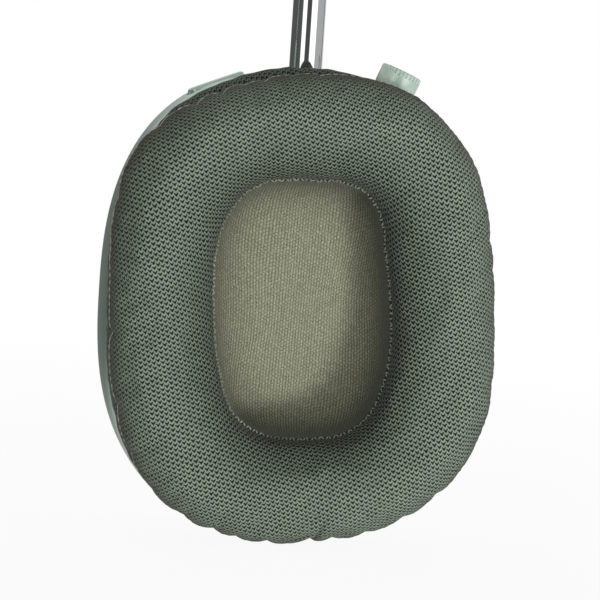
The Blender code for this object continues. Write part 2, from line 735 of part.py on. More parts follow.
def crown_rings():
    """Rings up the crown: plain at the foot, fluted near the top, rounded over at the rim."""
    foot = CROWN_STANDOFF
    top = foot + CROWN_HEIGHT
    flute_start = top - CROWN_FLUTE_LENGTH
    levels = (
        (CROWN_ROUND / 2, 0.0, foot),
        (0.0, 0.0, foot + CROWN_ROUND / 2),
        (0.0, 0.0, flute_start),
        (0.0, CROWN_FLUTE_DEPTH, flute_start + CROWN_FLUTE_DEPTH),
        (0.0, CROWN_FLUTE_DEPTH, top - CROWN_ROUND),
        (CROWN_ROUND, 0.0, top),
    )
    rings = []
    count = CROWN_FLUTES * 4
    for inset, flute, z in levels:
        ring = []
        for i in range(count):
            angle = 2 * math.pi * i / count
            radius = CROWN_RADIUS - inset - (flute if i % 4 in (1, 2) else 0.0)
            ring.append(Vector((radius * math.cos(angle), radius * math.sin(angle), z)))
        rings.append(ring)
    return rings


def tact_switch(name, axis, plunger_end):
    """The small switch that a control presses at the end of its travel."""
    width, depth, height = SWITCH_SIZE
    top = plunger_end - PRESS_TRAVEL - RUNNING_GAP
    body = block(name, (-width / 2, -depth / 2, top - height), (width / 2, depth / 2, top))
    piece(name, body, axis, PLASTIC)


def mode_button(cup, shell):
    """The long button beside the stem, held in by a flange and backed by its switch."""
    axis = wall_axis("button_axis", cup, BUTTON_X)
    gap = 2 * RUNNING_GAP
    cut(shell, pill_cutter("button_slot", axis, BUTTON_LENGTH + gap, BUTTON_WIDTH + gap))
    lap = 2 * BUTTON_FLANGE_LAP
    edge = BUTTON_PROUD / 2
    flange_foot = -BUTTON_FLANGE_SEAT - BUTTON_FLANGE_THICKNESS
    levels = (
        (lap, flange_foot),
        (lap, -BUTTON_FLANGE_SEAT),
        (0.0, -BUTTON_FLANGE_SEAT),
        (0.0, BUTTON_PROUD - edge),
        (-2 * edge, BUTTON_PROUD),
    )
    rings = [pill(BUTTON_LENGTH + more, BUTTON_WIDTH + more, z) for more, z in levels]
    button = piece("mode_button", loft("mode_button", rings), axis, METAL)
    pusher_end = flange_foot - BUTTON_PUSHER
    pusher = rod("pusher", BUTTON_WIDTH / 4, pusher_end, -BUTTON_FLANGE_SEAT, 8)
    join(button, helper("button_pusher", pusher, axis))
    tact_switch("button_switch", axis, pusher_end)


def charge_port(cup, shell):
    """The charging socket under its slot in the foot of the cup, and the light beside it."""
    axis = wall_axis("port_axis", cup, 0.0, below=True)
    cut(shell, pill_cutter("port_slot", axis, PORT_LENGTH, PORT_WIDTH))
    mouth = -SHELL_WALL - 3 * RUNNING_GAP
    foot = mouth - PORT_DEPTH
    slot = (PORT_LENGTH - 2 * RUNNING_GAP, PORT_WIDTH - 2 * RUNNING_GAP)
    case = (PORT_LENGTH + 2 * PORT_WALL, PORT_WIDTH + 2 * PORT_WALL)
    rings = [
        pill(*slot, foot + PORT_WALL),
        pill(*slot, mouth),
        pill(*case, mouth),
        pill(*case, foot),
    ]
    piece("charge_socket", loft("charge_socket", rings), axis, STEEL)

    light = wall_axis("light_axis", cup, LIGHT_X, below=True)
    hole = rod("light_hole", LIGHT_RADIUS + RUNNING_GAP, -3 * SHELL_WALL, 3 * SHELL_WALL, 12)
    cut(shell, helper("light_hole", hole, light))
    lens = rod("status_light", LIGHT_RADIUS, -SHELL_WALL, -0.2 * MM, 12)
    piece("status_light", lens, light, LENS)


# ---------------------------------------------------------------- headband


def arch_point(angle, y=0.0):
    """A point on the headband's middle line; angle 0 is at the right arm, pi at the left."""
    x = STEM_SPACING / 2 * power(math.cos(angle), 2 / ARCH_SQUARENESS)
    z = ARM_BORE_TOP + ARCH_RISE * abs(math.sin(angle)) ** (2 / ARCH_SQUARENESS)
    return Vector((x, STEM_Y + y, z))


def rail_offset(angle):
    """How far each rail stands from the middle of the band."""
    return RAIL_START + (RAIL_SPREAD - RAIL_START) * math.sin(angle) ** 1.4


def rail_radius(angle):
    """A rail is thick where it leaves the arm, and slim over the head."""
    thick = ARM_RADIUS * 0.8
    return RAIL_RADIUS + (thick - RAIL_RADIUS) * (1 - math.sin(angle)) ** 3


def rail_mesh(name, sign):
    """One of the two rails, swept as a tapering tube from arm to arm."""
    line = bpy.data.curves.new(name, "CURVE")
    line.dimensions = "3D"
    line.bevel_depth = RAIL_RADIUS
    line.bevel_resolution = 3
    line.use_fill_caps = True
    spline = line.splines.new("POLY")
    spline.points.add(RAIL_STEPS - 1)
    first = RAIL_FIRST_ANGLE
    for i, point in enumerate(spline.points):
        angle = first + (math.pi - 2 * first) * i / (RAIL_STEPS - 1)
        point.co = (*arch_point(angle, sign * rail_offset(angle)), 1.0)
        point.radius = rail_radius(angle) / RAIL_RADIUS
    swept = bpy.data.objects.new(name, line)
    HELPERS.objects.link(swept)
    bpy.context.view_layer.update()
    seen = swept.evaluated_get(bpy.context.evaluated_depsgraph_get())
    mesh = bpy.data.meshes.new_from_object(seen)
    bpy.data.objects.remove(swept)
    shape = bmesh.new()
    shape.from_mesh(mesh)
    bmesh.ops.remove_doubles(shape, verts=shape.verts, dist=0.00001)
    bmesh.ops.recalc_face_normals(shape, faces=shape.faces)
    return finished(name, shape)


def headband_frame(root):
    """The two hollow arms and the two rails over the head, joined into one frame."""
    head = ARM_BORE_TOP + ARM_HEAD_LENGTH
    profile = [
        (0, head),
        (ARM_RADIUS * 0.55, head - 0.8 * MM),
        (ARM_RADIUS * 0.88, head - ARM_HEAD_LENGTH / 3),
        (ARM_RADIUS, ARM_BORE_TOP),
        (ARM_RADIUS, ARM_BOTTOM),
        (ARM_BORE_RADIUS, ARM_BOTTOM),
        (ARM_BORE_RADIUS, ARM_BORE_TOP),
        (0, ARM_BORE_TOP),
    ]
    frame = piece("headband_frame", rail_mesh("front_rail", -1), root, SOFT_TOUCH)
    join(frame, helper("rear_rail", rail_mesh("rear_rail", 1), root))
    for side, sign in SIDES:
        arm = turned(f"{side}_arm", profile, root, None, (sign * STEM_SPACING / 2, STEM_Y, 0))
        PARTS.objects.unlink(arm)
        HELPERS.objects.link(arm)
        arm.hide_render = True
        arm.display_type = "WIRE"
        join(frame, arm)


def arm_fittings(side, sign, root):
    """The metal collar at the end of the arm and the plastic bush behind it."""
    spot = (sign * STEM_SPACING / 2, STEM_Y, 0)
    step = COLLAR_HEIGHT / 4
    collar = [
        (ARM_RADIUS, COLLAR_BOTTOM + COLLAR_HEIGHT),
        (ARM_RADIUS, COLLAR_BOTTOM + step),
        (ARM_RADIUS - step, COLLAR_BOTTOM),
        (STEM_BORE_RADIUS, COLLAR_BOTTOM),
        (STEM_BORE_RADIUS, COLLAR_BOTTOM + COLLAR_HEIGHT),
    ]
    turned(f"{side}_arm_collar", collar, root, METAL, spot, ring=True)
    bush = tube(
        STEM_BORE_RADIUS, ARM_BORE_RADIUS - RUNNING_GAP, ARM_BOTTOM, ARM_BOTTOM + ARM_BUSH_LENGTH
    )
    turned(f"{side}_arm_bush", bush, root, PLASTIC, spot, ring=True)


def canopy(root):
    """The knit mesh stretched between the rails, sagging a little across its width."""
    over, under = [], []
    for i in range(CANOPY_STEPS + 1):
        angle = CANOPY_START + (math.pi - 2 * CANOPY_START) * i / CANOPY_STEPS
        half = rail_offset(angle) - rail_radius(angle) - 2 * RUNNING_GAP
        ahead = arch_point(min(angle + 0.01, math.pi))
        behind = arch_point(max(angle - 0.01, 0.0))
        along = (ahead - behind).normalized()
        out = Vector((along.z, 0, -along.x))
        for row, lift in ((over, 0.5), (under, -0.5)):
            points = []
            for j in range(CANOPY_WIDTH_STEPS + 1):
                across = 2 * j / CANOPY_WIDTH_STEPS - 1
                sag = CANOPY_SAG * (1 - across**2) * math.sin(angle)
                middle = arch_point(angle, across * half)
                points.append(middle + out * (lift * CANOPY_THICKNESS - sag))
            row.append(points)
    rings = [top + bottom[::-1] for top, bottom in zip(over, under)]
    piece("canopy", loft("canopy", rings), root, CANOPY_KNIT)


# ---------------------------------------------------------------- assembly

clear_scene()
PARTS = new_collection("over_ear_headset")
HELPERS = new_collection("cutters_and_joins")
SIDES = (("right", 1), ("left", -1))

METAL = new_material("pale_green_anodised_aluminium", (0.44, 0.53, 0.46), 0.35, 0.9)
CHROME = new_material("polished_stainless_steel", (0.8, 0.8, 0.82), 0.08, 1.0)
STEEL = new_material("plain_steel", (0.5, 0.5, 0.52), 0.3, 1.0)
COPPER = new_material("copper_winding", (0.65, 0.3, 0.15), 0.4, 1.0)
PLASTIC = new_material("dark_moulded_plastic", (0.06, 0.07, 0.06), 0.5)
SOFT_TOUCH = new_material("soft_touch_coating", (0.16, 0.22, 0.18), 0.6)
CUSHION_KNIT = new_material("cushion_mesh_knit", (0.15, 0.2, 0.15), 0.9)
LINING_KNIT = new_material("lining_fine_knit", (0.28, 0.29, 0.2), 0.9)
CANOPY_KNIT = new_material("canopy_mesh_knit", (0.17, 0.23, 0.18), 0.9)
DARK_MESH = new_material("dark_wire_mesh", (0.03, 0.03, 0.03), 0.6)
BOARD_GREEN = new_material("circuit_board", (0.02, 0.12, 0.05), 0.5)
CELL_WRAP = new_material("battery_wrap", (0.05, 0.05, 0.06), 0.45)
MEMBRANE = new_material("driver_membrane", (0.3, 0.3, 0.32), 0.4)
LENS = new_material("light_lens", (0.9, 0.9, 0.9), 0.2)

headset = new_axis("headset")
headband_frame(headset)
canopy(headset)
for side_name, side_sign in SIDES:
    arm_fittings(side_name, side_sign, headset)
    stem_axis = new_axis(f"{side_name}_stem_axis", headset, (side_sign * STEM_SPACING / 2, STEM_Y, 0))
    stem(side_name, stem_axis)
    tilt_axis = new_axis(f"{side_name}_tilt_axis", stem_axis, (0, 0, CUP_MIDDLE + TILT_AXIS))
    pivot(side_name, tilt_axis)
    cup_frame = new_axis(f"{side_name}_cup", tilt_axis, (0, 0, -TILT_AXIS))
    housing = ear_cup_shell(side_name, cup_frame)
    cradle(side_name, cup_frame)
    inner_cover(side_name, cup_frame)
    driver(side_name, cup_frame)
    circuit_board(side_name, cup_frame)
    ear_cushion(side_name, cup_frame)
    if side_name == "right":
        crown(cup_frame, housing)
        mode_button(cup_frame, housing)
        charge_port(cup_frame, housing)
    else:
        battery(cup_frame)
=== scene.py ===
"""Looks of an over-ear headset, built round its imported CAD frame.

Frame: metres, +Z up. The headset stands upright with both cups turned flat, so that the ear
cushions face -Y and the outer faces of the cups face +Y. +X is the wearer's right. Each cup has
its own frame: x across it, y from the ear (-) to the outer face (+), z up, with y = 0 on the
stem's axis and z = 0 at the middle of the cup.
"""

import json
import logging
import math
import random
from collections.abc import Callable, Sequence
from dataclasses import dataclass, field
from enum import Enum

import bmesh
import bpy
from mathutils import Matrix, Vector, noise


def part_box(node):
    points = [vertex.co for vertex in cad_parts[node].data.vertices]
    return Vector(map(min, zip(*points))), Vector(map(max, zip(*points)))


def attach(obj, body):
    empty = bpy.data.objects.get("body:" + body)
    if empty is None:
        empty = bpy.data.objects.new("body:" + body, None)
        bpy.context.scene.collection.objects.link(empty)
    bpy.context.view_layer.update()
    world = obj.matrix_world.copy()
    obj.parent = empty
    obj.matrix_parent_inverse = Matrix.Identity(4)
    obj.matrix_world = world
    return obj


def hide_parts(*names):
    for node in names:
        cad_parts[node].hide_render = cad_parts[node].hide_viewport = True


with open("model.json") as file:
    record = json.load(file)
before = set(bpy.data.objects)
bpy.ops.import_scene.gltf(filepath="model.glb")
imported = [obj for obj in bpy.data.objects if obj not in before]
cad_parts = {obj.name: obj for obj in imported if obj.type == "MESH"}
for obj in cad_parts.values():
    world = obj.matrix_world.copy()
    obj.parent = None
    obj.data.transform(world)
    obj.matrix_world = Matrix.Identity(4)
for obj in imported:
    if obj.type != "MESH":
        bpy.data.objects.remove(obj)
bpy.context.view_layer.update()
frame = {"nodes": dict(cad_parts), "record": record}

MM = 0.001
LOG = logging.getLogger("headset")

Place = Callable[[int], Vector]
Pairs = Sequence[tuple[float, float]]
Colour = tuple[float, float, float, float]


class Side(Enum):
    """The two cups; the value is the side's sign along x."""

    RIGHT = 1
    LEFT = -1

    @property
    def label(self) -> str:
        """The side's word in node and body names."""
        return self.name.lower()


class Panel(Enum):
    """The pieces of cloth that a cushion's cover is sewn from."""

    FRONT = "front"
    WALL = "wall"
    BACK = "back"
    BAND = "band"


class Cloth(Enum):
    """The names of the cloth's UV map and of the values at its points, all in millimetres."""

    MAP = "cloth_mm"
    LIP = "from_lip_mm"
    EDGE = "from_edge_mm"
    FOLD = "fold_mm"


# ------------------------------------------------------------------ sizes shared by the pieces


@dataclass(frozen=True)
class Outline:
    """A superellipse in a plane of constant depth."""

    half_width: float
    half_height: float
    squareness: float = 2.55

    def at(self, turn: float, depth: float = 0.0) -> Vector:
        """The point at a turn, in radians from +x towards +z."""
        x = self.half_width * power(math.cos(turn), 2 / self.squareness)
        z = self.half_height * power(math.sin(turn), 2 / self.squareness)
        return Vector((x, depth, z))

    def inset(self, distance: float) -> "Outline":
        """The outline this far inside."""
        return Outline(self.half_width - distance, self.half_height - distance, self.squareness)

    def ring(self, turns: Sequence[float], pair: tuple[float, float]) -> Place:
        """The places of a ring's points at an (inset, depth) pair."""
        return lambda i: self.inset(pair[0]).at(turns[i], pair[1])

    def even_turns(self, count: int, fine: int = 6000) -> list[float]:
        """Turns of points that are evenly spaced along the outline.

        Args:
            count: How many points there are.
            fine: How many steps the outline is measured in.

        Returns:
            The turns, from 0.
        """
        points = [self.at(2 * math.pi * i / fine) for i in range(fine + 1)]
        reach = reaches(points)
        turns, j = [], 0
        for i in range(count):
            target = reach[-1] * i / count
            while reach[j + 1] < target:
                j += 1
            share = (target - reach[j]) / (reach[j + 1] - reach[j])
            turns.append(2 * math.pi * (j + share) / fine)
        return turns

    def length(self, fine: int = 720) -> float:
        """The distance round the outline, measured in fine steps."""
        return reaches([self.at(2 * math.pi * i / fine) for i in range(fine + 1)])[-1]


@dataclass(frozen=True)
class CupSizes:
    """Where a cup stands and how large it is, as in the CAD."""

    spacing: float = 130.0 * MM
    depth: float = 6.3 * MM
    middle: float = 50.2 * MM
    half_width: float = 41.7 * MM
    half_height: float = 50.2 * MM
    squareness: float = 2.55
    cushion_margin: float = 1.0 * MM

    def origin(self, side: Side) -> Vector:
        """The origin of a cup's own frame."""
        return Vector((side.value * self.spacing / 2, self.depth, self.middle))

    def arm_axis(self, side: Side) -> Matrix:
        """The frame of a side's arm and stem, on the floor under their axis."""
        return Matrix.Translation((side.value * self.spacing / 2, self.depth, 0))

    def outline(self) -> Outline:
        """The shell's outline."""
        return Outline(self.half_width, self.half_height, self.squareness)

    def wall_frame(self, x: float, below: bool = False) -> Matrix:
        """The frame of a spot on the cup's outer wall, its z straight out.

        Args:
            x: How far across the cup the spot is.
            below: True for the foot of the cup, False for its top.

        Returns:
            The frame, in the cup's own.
        """
        share = abs(x / self.half_width) ** self.squareness
        z = self.half_height * (1 - share) ** (1 / self.squareness)
        normal_x = power(x / self.half_width, self.squareness - 1) / self.half_width
        normal_z = (z / self.half_height) ** (self.squareness - 1) / self.half_height
        if below:
            z, normal_z = -z, -normal_z
        lean = math.atan2(normal_x, normal_z)
        return Matrix.Translation((x, 0, z)) @ Matrix.Rotation(lean, 4, "Y")


def power(value: float, exponent: float) -> float:
    """A signed power, for points on a superellipse."""
    return math.copysign(abs(value) ** exponent, value)


def blend(low: float, high: float, share: float) -> float:
    """A value between two others."""
    return low + (high - low) * share


def ease(value: float) -> float:
    """A smooth step from 0 to 1."""
    value = min(1.0, max(0.0, value))
    return value * value * (3 - 2 * value)


def faded(away: float, reach: float, steepness: float) -> float:
    """What is left of an effect, from 1 to 0, at a distance either way."""
    return math.exp(-((abs(away) / reach) ** steepness))


def reaches(points: Sequence[Vector], unit: float = 1.0) -> list[float]:
    """How far each point of a line is along it, in a unit.

    Args:
        points: The line.
        unit: The unit, in metres.

    Returns:
        The distances, from 0.
    """
    reach = [0.0]
    for a, b in zip(points, points[1:]):
        reach.append(reach[-1] + (b - a).length / unit)
    return reach


def shoulder(depths: Sequence[float], insets: Sequence[float], steps: int, roundness: float) -> list:
    """A quarter superellipse from a side wall over to a face.

    Args:
        depths: Depth at the wall and at the face.
        insets: Inset at the wall and at the face.
        steps: How many pieces it has.
        roundness: The superellipse's exponent.

    Returns:
        The (inset, depth) pairs.
    """
    pairs = []
    for i in range(steps + 1):
        angle = math.pi / 2 * i / steps
        along = math.sin(angle) ** (2 / roundness)
        across = 1 - math.cos(angle) ** (2 / roundness) if i < steps else 1.0
        pairs.append((blend(*insets, across), blend(*depths, along)))
    return pairs


def resampled(points: Sequence[Vector], count: int) -> list[Vector]:
    """A line's points again, evenly spaced along it.

    Args:
        points: The line.
        count: How many points the new line has.

    Returns:
        The new points, the first and last as they were.
    """
    reach = reaches(points)
    made, j = [], 0
    for i in range(count):
        target = reach[-1] * i / (count - 1)
        while j < len(points) - 2 and reach[j + 1] < target:
            j += 1
        share = (target - reach[j]) / max(reach[j + 1] - reach[j], 1e-12)
        made.append(points[j].lerp(points[j + 1], share))
    return made


# ------------------------------------------------------------------ meshes


class Skin:
    """A surface grown ring by ring from one circle, with bmesh operators.

    Every vertex carries its number round the ring and the number of its ring, so that the cloth
    maps and the shapes can be worked out from them.
    """

    def __init__(
        self, sides: int, places: Sequence[Place], mesh: bmesh.types.BMesh | None = None
    ) -> None:
        """Grows the skin through its rings.

        Args:
            sides: How many points a ring has.
            places: For each ring, the place of a point by its number.
            mesh: The bmesh that the skin joins, or none for a new one.
        """
        self.mesh = bmesh.new() if mesh is None else mesh
        self.sides = sides
        self.rings = len(places)
        layers = self.mesh.verts.layers.int
        self.around = layers.get("around") or layers.new("around")
        self.ring = layers.get("ring") or layers.new("ring")
        start = bmesh.ops.create_circle(self.mesh, segments=sides, radius=1.0)["verts"]
        for i, vert in enumerate(start):
            vert[self.around] = i
            vert.co = places[0](i)
        self.first = list(dict.fromkeys(edge for vert in start for edge in vert.link_edges))
        self.last = self.first
        for number, place in enumerate(places[1:], 1):
            made = bmesh.ops.extrude_edge_only(self.mesh, edges=self.last)["geom"]
            fresh = {item for item in made if isinstance(item, bmesh.types.BMVert)}
            for vert in fresh:
                vert[self.ring] = number
                vert.co = place(vert[self.around])
            edges = (item for item in made if isinstance(item, bmesh.types.BMEdge))
            self.last = [edge for edge in edges if fresh.issuperset(edge.verts)]

    def close(self, joined: bool = False) -> "Skin":
        """Closes the skin and turns its faces out.

        Args:
            joined: True to join its last ring to its first, False for a flat face at each end.

        Returns:
            The skin.
        """
        if joined:
            bmesh.ops.bridge_loops(self.mesh, edges=[*self.first, *self.last])
        else:
            for edges in (self.first, self.last):
                bmesh.ops.edgeloop_fill(self.mesh, edges=edges)
        bmesh.ops.recalc_face_normals(self.mesh, faces=self.mesh.faces)
        return self

    def map_cloth(
        self, panel_of: Callable[[int], Panel], chart: Callable[[Panel, int, int], Vector]
    ) -> None:
        """Lays the cloth's UV map, in millimetres, face by face.

        Args:
            panel_of: The panel of the face that ends at a ring.
            chart: The place on the cloth of a ring's point. The count goes one past the last
                ring and point, so that the map has no jump where they close.
        """
        layer = self.mesh.loops.layers.uv.new(Cloth.MAP.value)
        for face in self.mesh.faces:
            rings = [loop.vert[self.ring] for loop in face.loops]
            turns = [loop.vert[self.around] for loop in face.loops]
            if max(rings) - min(rings) > 1:
                rings = [self.rings if r == 0 else r for r in rings]
            if max(turns) - min(turns) > 1:
                turns = [self.sides if t == 0 else t for t in turns]
            panel = panel_of(max(rings))
            for loop, ring, turn in zip(face.loops, rings, turns):
                loop[layer].uv = chart(panel, ring, turn).xy


def lathe(profile: Pairs, steps: int = 96, closed: bool = False) -> bmesh.types.BMesh:
    """A turned shape about z.

    Args:
        profile: (radius, height) points. A closed one runs back to its start.
        steps: How many faces there are round the axis.
        closed: True for a ring's section, False where both ends are on the axis.

    Returns:
        The shape, its faces out.
    """
    shape = bmesh.new()
    verts = [shape.verts.new((radius, 0, height)) for radius, height in profile]
    pairs = list(zip(verts, verts[1:]))
    if closed:
        pairs.append((verts[-1], verts[0]))
    edges = [shape.edges.new(pair) for pair in pairs]
    bmesh.ops.spin(
        shape, geom=[*verts, *edges], axis=(0, 0, 1), cent=(0, 0, 0), angle=2 * math.pi,
        steps=steps, use_merge=True,
    )
    bmesh.ops.remove_doubles(shape, verts=shape.verts, dist=0.002 * MM)
    bmesh.ops.recalc_face_normals(shape, faces=shape.faces)
    return shape


def rounded(corners: Sequence[tuple[float, float, float]], steps: int = 4) -> Pairs:
    """A closed profile with its corners rounded.

    Args:
        corners: (radius, height, rounding) of each corner, in order.
        steps: How many pieces a rounded corner has.

    Returns:
        The (radius, height) points.
    """
    made: list[tuple[float, float]] = []
    for i, (x, y, rounding) in enumerate(corners):
        here = Vector((x, y))
        before = Vector(corners[i - 1][:2]) - here
        after = Vector(corners[(i + 1) % len(corners)][:2]) - here
        if rounding <= 0:
            made.append((x, y))
            continue
        start = here + before.normalized() * min(rounding, before.length / 2)
        end = here + after.normalized() * min(rounding, after.length / 2)
        for j in range(steps + 1):
            share = j / steps
            point = start.lerp(here, share).lerp(here.lerp(end, share), share)
            made.append((point.x, point.y))
    return made


def pill_skin(levels: Sequence[tuple[float, float, float]], sides: int) -> bmesh.types.BMesh:
    """A closed solid along z whose sections have straight sides and round ends.

    Args:
        levels: (length, width, height) of each section.
        sides: How many points a section has.

    Returns:
        The solid.
    """
    half = sides // 2

    def ring(length: float, width: float, height: float) -> Place:
        """The places of one section's points."""

        def spot(i: int) -> Vector:
            """The place of one point."""
            radius, side = width / 2, 1 if i < half else -1
            angle = -math.pi / 2 + math.pi * (i % half) / (half - 1)
            x = side * (length / 2 - radius + radius * math.cos(angle))
            return Vector((x, side * radius * math.sin(angle), height))

        return spot

    return Skin(sides, [ring(*level) for level in levels]).close().mesh


def put_in_order(shape: bmesh.types.BMesh) -> None:
    """Sorts a shape's edges and faces by their vertices, because bmesh's own order differs from
    run to run, and a simulation's result with it.

    Args:
        shape: The shape, with at least three vertices to a face.
    """
    shape.verts.index_update()
    count = len(shape.verts)
    for elements in (shape.edges, shape.faces):
        keys = {}
        for element in elements:
            first, second, *more = sorted(vert.index for vert in element.verts)
            keys[element] = (first * count + second) * count + (more[0] if more else 0)
        elements.sort(key=keys.get)
        elements.index_update()


def moved(shape: bmesh.types.BMesh, matrix: Matrix) -> bmesh.types.BMesh:
    """The same shape, moved and turned."""
    bmesh.ops.transform(shape, matrix=matrix, verts=shape.verts)
    return shape


def smooth(mesh: bpy.types.Mesh, sharp: float) -> None:
    """Shades a mesh smooth, but for the edges past this angle in degrees."""
    mesh.shade_smooth()
    mesh.set_sharp_from_angle(angle=math.radians(sharp))


def new_object(name: str, shape: bmesh.types.BMesh, sharp: float = 35.0) -> bpy.types.Object:
    """An object from a bmesh, shaded smooth but for its sharp edges.

    Args:
        name: The object's name.
        shape: The bmesh, which is freed.
        sharp: The angle, in degrees, past which an edge is sharp.

    Returns:
        The object, in the scene.
    """
    mesh = bpy.data.meshes.new(name)
    shape.to_mesh(mesh)
    shape.free()
    smooth(mesh, sharp)
    return in_scene(bpy.data.objects.new(name, mesh))


def in_scene(made: bpy.types.Object) -> bpy.types.Object:
    """Links an object to the scene."""
    bpy.context.scene.collection.objects.link(made)
    return made


def bake(made: bpy.types.Object, sharp: float) -> None:
    """Applies an object's modifiers to its mesh.

    Args:
        made: The object.
        sharp: The angle, in degrees, past which an edge is sharp.
    """
    bpy.context.view_layer.update()
    seen = made.evaluated_get(bpy.context.evaluated_depsgraph_get())
    mesh = bpy.data.meshes.new_from_object(seen)
    made.modifiers.clear()
    made.data = mesh
    smooth(mesh, sharp)


def carve(
    target: bpy.types.Object, tools: Sequence[bpy.types.Object], operation: str = "DIFFERENCE"
) -> None:
    """Cuts tools out of an object, or joins them to it, and removes them.

    Args:
        target: The object.
        tools: The tools.
        operation: DIFFERENCE to cut, UNION to join.
    """
    for tool in tools:
        step = target.modifiers.new(tool.name, "BOOLEAN")
        step.object = tool
        step.operation = operation
        step.solver = "EXACT"
    bake(target, 30.0)
    for tool in tools:
        bpy.data.objects.remove(tool)


def thicken(made: bpy.types.Object, thickness: float, offset: float) -> None:
    """Gives a sheet of cloth its thickness, from -1 (inwards) to 1 (outwards) of its surface."""
    step = made.modifiers.new("cloth", "SOLIDIFY")
    step.thickness = thickness
    step.offset = offset


# ------------------------------------------------------------------ materials


def linear(hex_colour: str) -> Colour:
    """The linear colour of an sRGB hex value such as 7f8c7e."""
    parts = [int(hex_colour[i : i + 2], 16) / 255 for i in (0, 2, 4)]
    made = [c / 12.92 if c <= 0.04045 else ((c + 0.055) / 1.055) ** 2.4 for c in parts]
    return (made[0], made[1], made[2], 1.0)


class Sketch:
    """A node tree while it is being drawn."""

    # The setting that the word after a node's kind gives, where it isn't the operation
    CHOICE = {"Mapping": "vector_type", "MapRange": "interpolation_type", "Mix": "data_type"}

    def __init__(self, tree: bpy.types.NodeTree) -> None:
        """Starts on a tree."""
        self.tree = tree

    def add(self, kind: str, *inputs: object, stops: Sequence = (), **named: object) -> bpy.types.Node:
        """Adds a node.

        Args:
            kind: Its kind, and then its operation, space or other choice if it has one.
            inputs: Values for its sockets, as feed takes them.
            stops: A ramp's (place, colour) pairs; a colour is hex, or a number for plain grey.
            named: Its own settings, in small letters, and values for its sockets by name.

        Returns:
            The node.
        """
        kind, _, choice = kind.partition(" ")
        node = self.tree.nodes.new("ShaderNode" + kind)
        if choice:
            setattr(node, self.CHOICE.get(kind, "operation"), choice)
        for i, (place, colour) in enumerate(stops):
            elements = node.color_ramp.elements
            element = elements[i] if i < len(elements) else elements.new(place)
            element.position = place
            element.color = linear(colour) if isinstance(colour, str) else (*[colour] * 3, 1.0)
        for name in [name for name in named if name[0].islower()]:
            setattr(node, name, named.pop(name))
        self.feed(node, *inputs, **named)
        return node

    def feed(self, node: bpy.types.Node, *inputs: object, **named: object) -> None:
        """Sets or links a node's sockets.

        Args:
            node: The node.
            inputs: Values in the order of its sockets, or one dict of values by number. A node
                stands for its first output, and a (node, output) pair for that output.
            named: Values by the socket's name, with _ for a space.
        """
        numbered = inputs[0] if inputs and isinstance(inputs[0], dict) else dict(enumerate(inputs))
        by_name = {name.replace("_", " "): value for name, value in named.items()}
        for socket, value in {**numbered, **by_name}.items():
            if isinstance(value, bpy.types.Node):
                value = (value, 0)
            if isinstance(value, tuple) and isinstance(value[0], bpy.types.Node):
                self.tree.links.new(value[0].outputs[value[1]], node.inputs[socket])
            else:
                node.inputs[socket].default_value = value


class Recipe(Sketch):
    """A node material while it is being made."""

    def __init__(self, name: str) -> None:
        """Starts with a Principled shader and an output."""
        self.material = bpy.data.materials.new(name)
        self.material.use_nodes = True
        super().__init__(self.material.node_tree)
        self.shader = self.tree.nodes["Principled BSDF"]

    def finish(self, **named: object) -> bpy.types.Material:
        """Feeds the shader, by its sockets' names, and gives the material back."""
        self.feed(self.shader, **named)
        return self.material


@dataclass(frozen=True)
class Knit:
    """A knit in columns of stitches, every other column half a stitch lower than the next.

    Its sizes are in millimetres, as its map is.
    """

    name: str
    column: float
    stitch: float
    hole: str
    yarn: str
    light: str
    relief: float
    turn: float = 0.0
    wander: float = 0.0
    sway: tuple[float, float, float] = (0.0, 0.0, 0.0)
    dullest: float = 0.84

    def stitches(self, r: Recipe) -> tuple[object, object, object, object]:
        """Divides the cloth into stitches.

        Args:
            r: The material being made.

        Returns:
            The cloth's map, the place across in columns, the column's number, and the place
            along the column in stitches.
        """
        cloth = laid = r.add("UVMap", uv_map=Cloth.MAP.value)
        if self.wander:
            drift = r.add("TexNoise", Vector=cloth, Scale=self.wander, Detail=2.0)
            shift = r.add("VectorMath SUBTRACT", (drift, "Color"), (0.5, 0.5, 0.5))
            laid = r.add("VectorMath MULTIPLY_ADD", shift, self.sway, cloth)
        size = (self.column, self.stitch, 1.0)
        cells = r.add("Mapping TEXTURE", laid, Rotation=(0.0, 0.0, self.turn), Scale=size)
        split = r.add("SeparateXYZ", cells)
        column = r.add("Math FLOOR", (split, "X"))
        lowered = r.add("Math FLOORED_MODULO", column, 2.0)
        along = r.add("Math MULTIPLY_ADD", lowered, 0.5, (split, "Y"))
        return cloth, (split, "X"), column, along

    def lots(self, r: Recipe, column: object, along: object, spread: float) -> bpy.types.Node:
        """A brightness of its own for each stitch.

        Args:
            r: The material being made.
            column: The column's number.
            along: The place along it, in stitches.
            spread: How much brighter the palest stitch is than the dullest.

        Returns:
            The brightness.
        """
        cell = r.add("CombineXYZ", column, r.add("Math FLOOR", along))
        lot = r.add("TexWhiteNoise", cell, noise_dimensions="2D")
        return r.add("Math MULTIPLY_ADD", lot, spread, self.dullest)


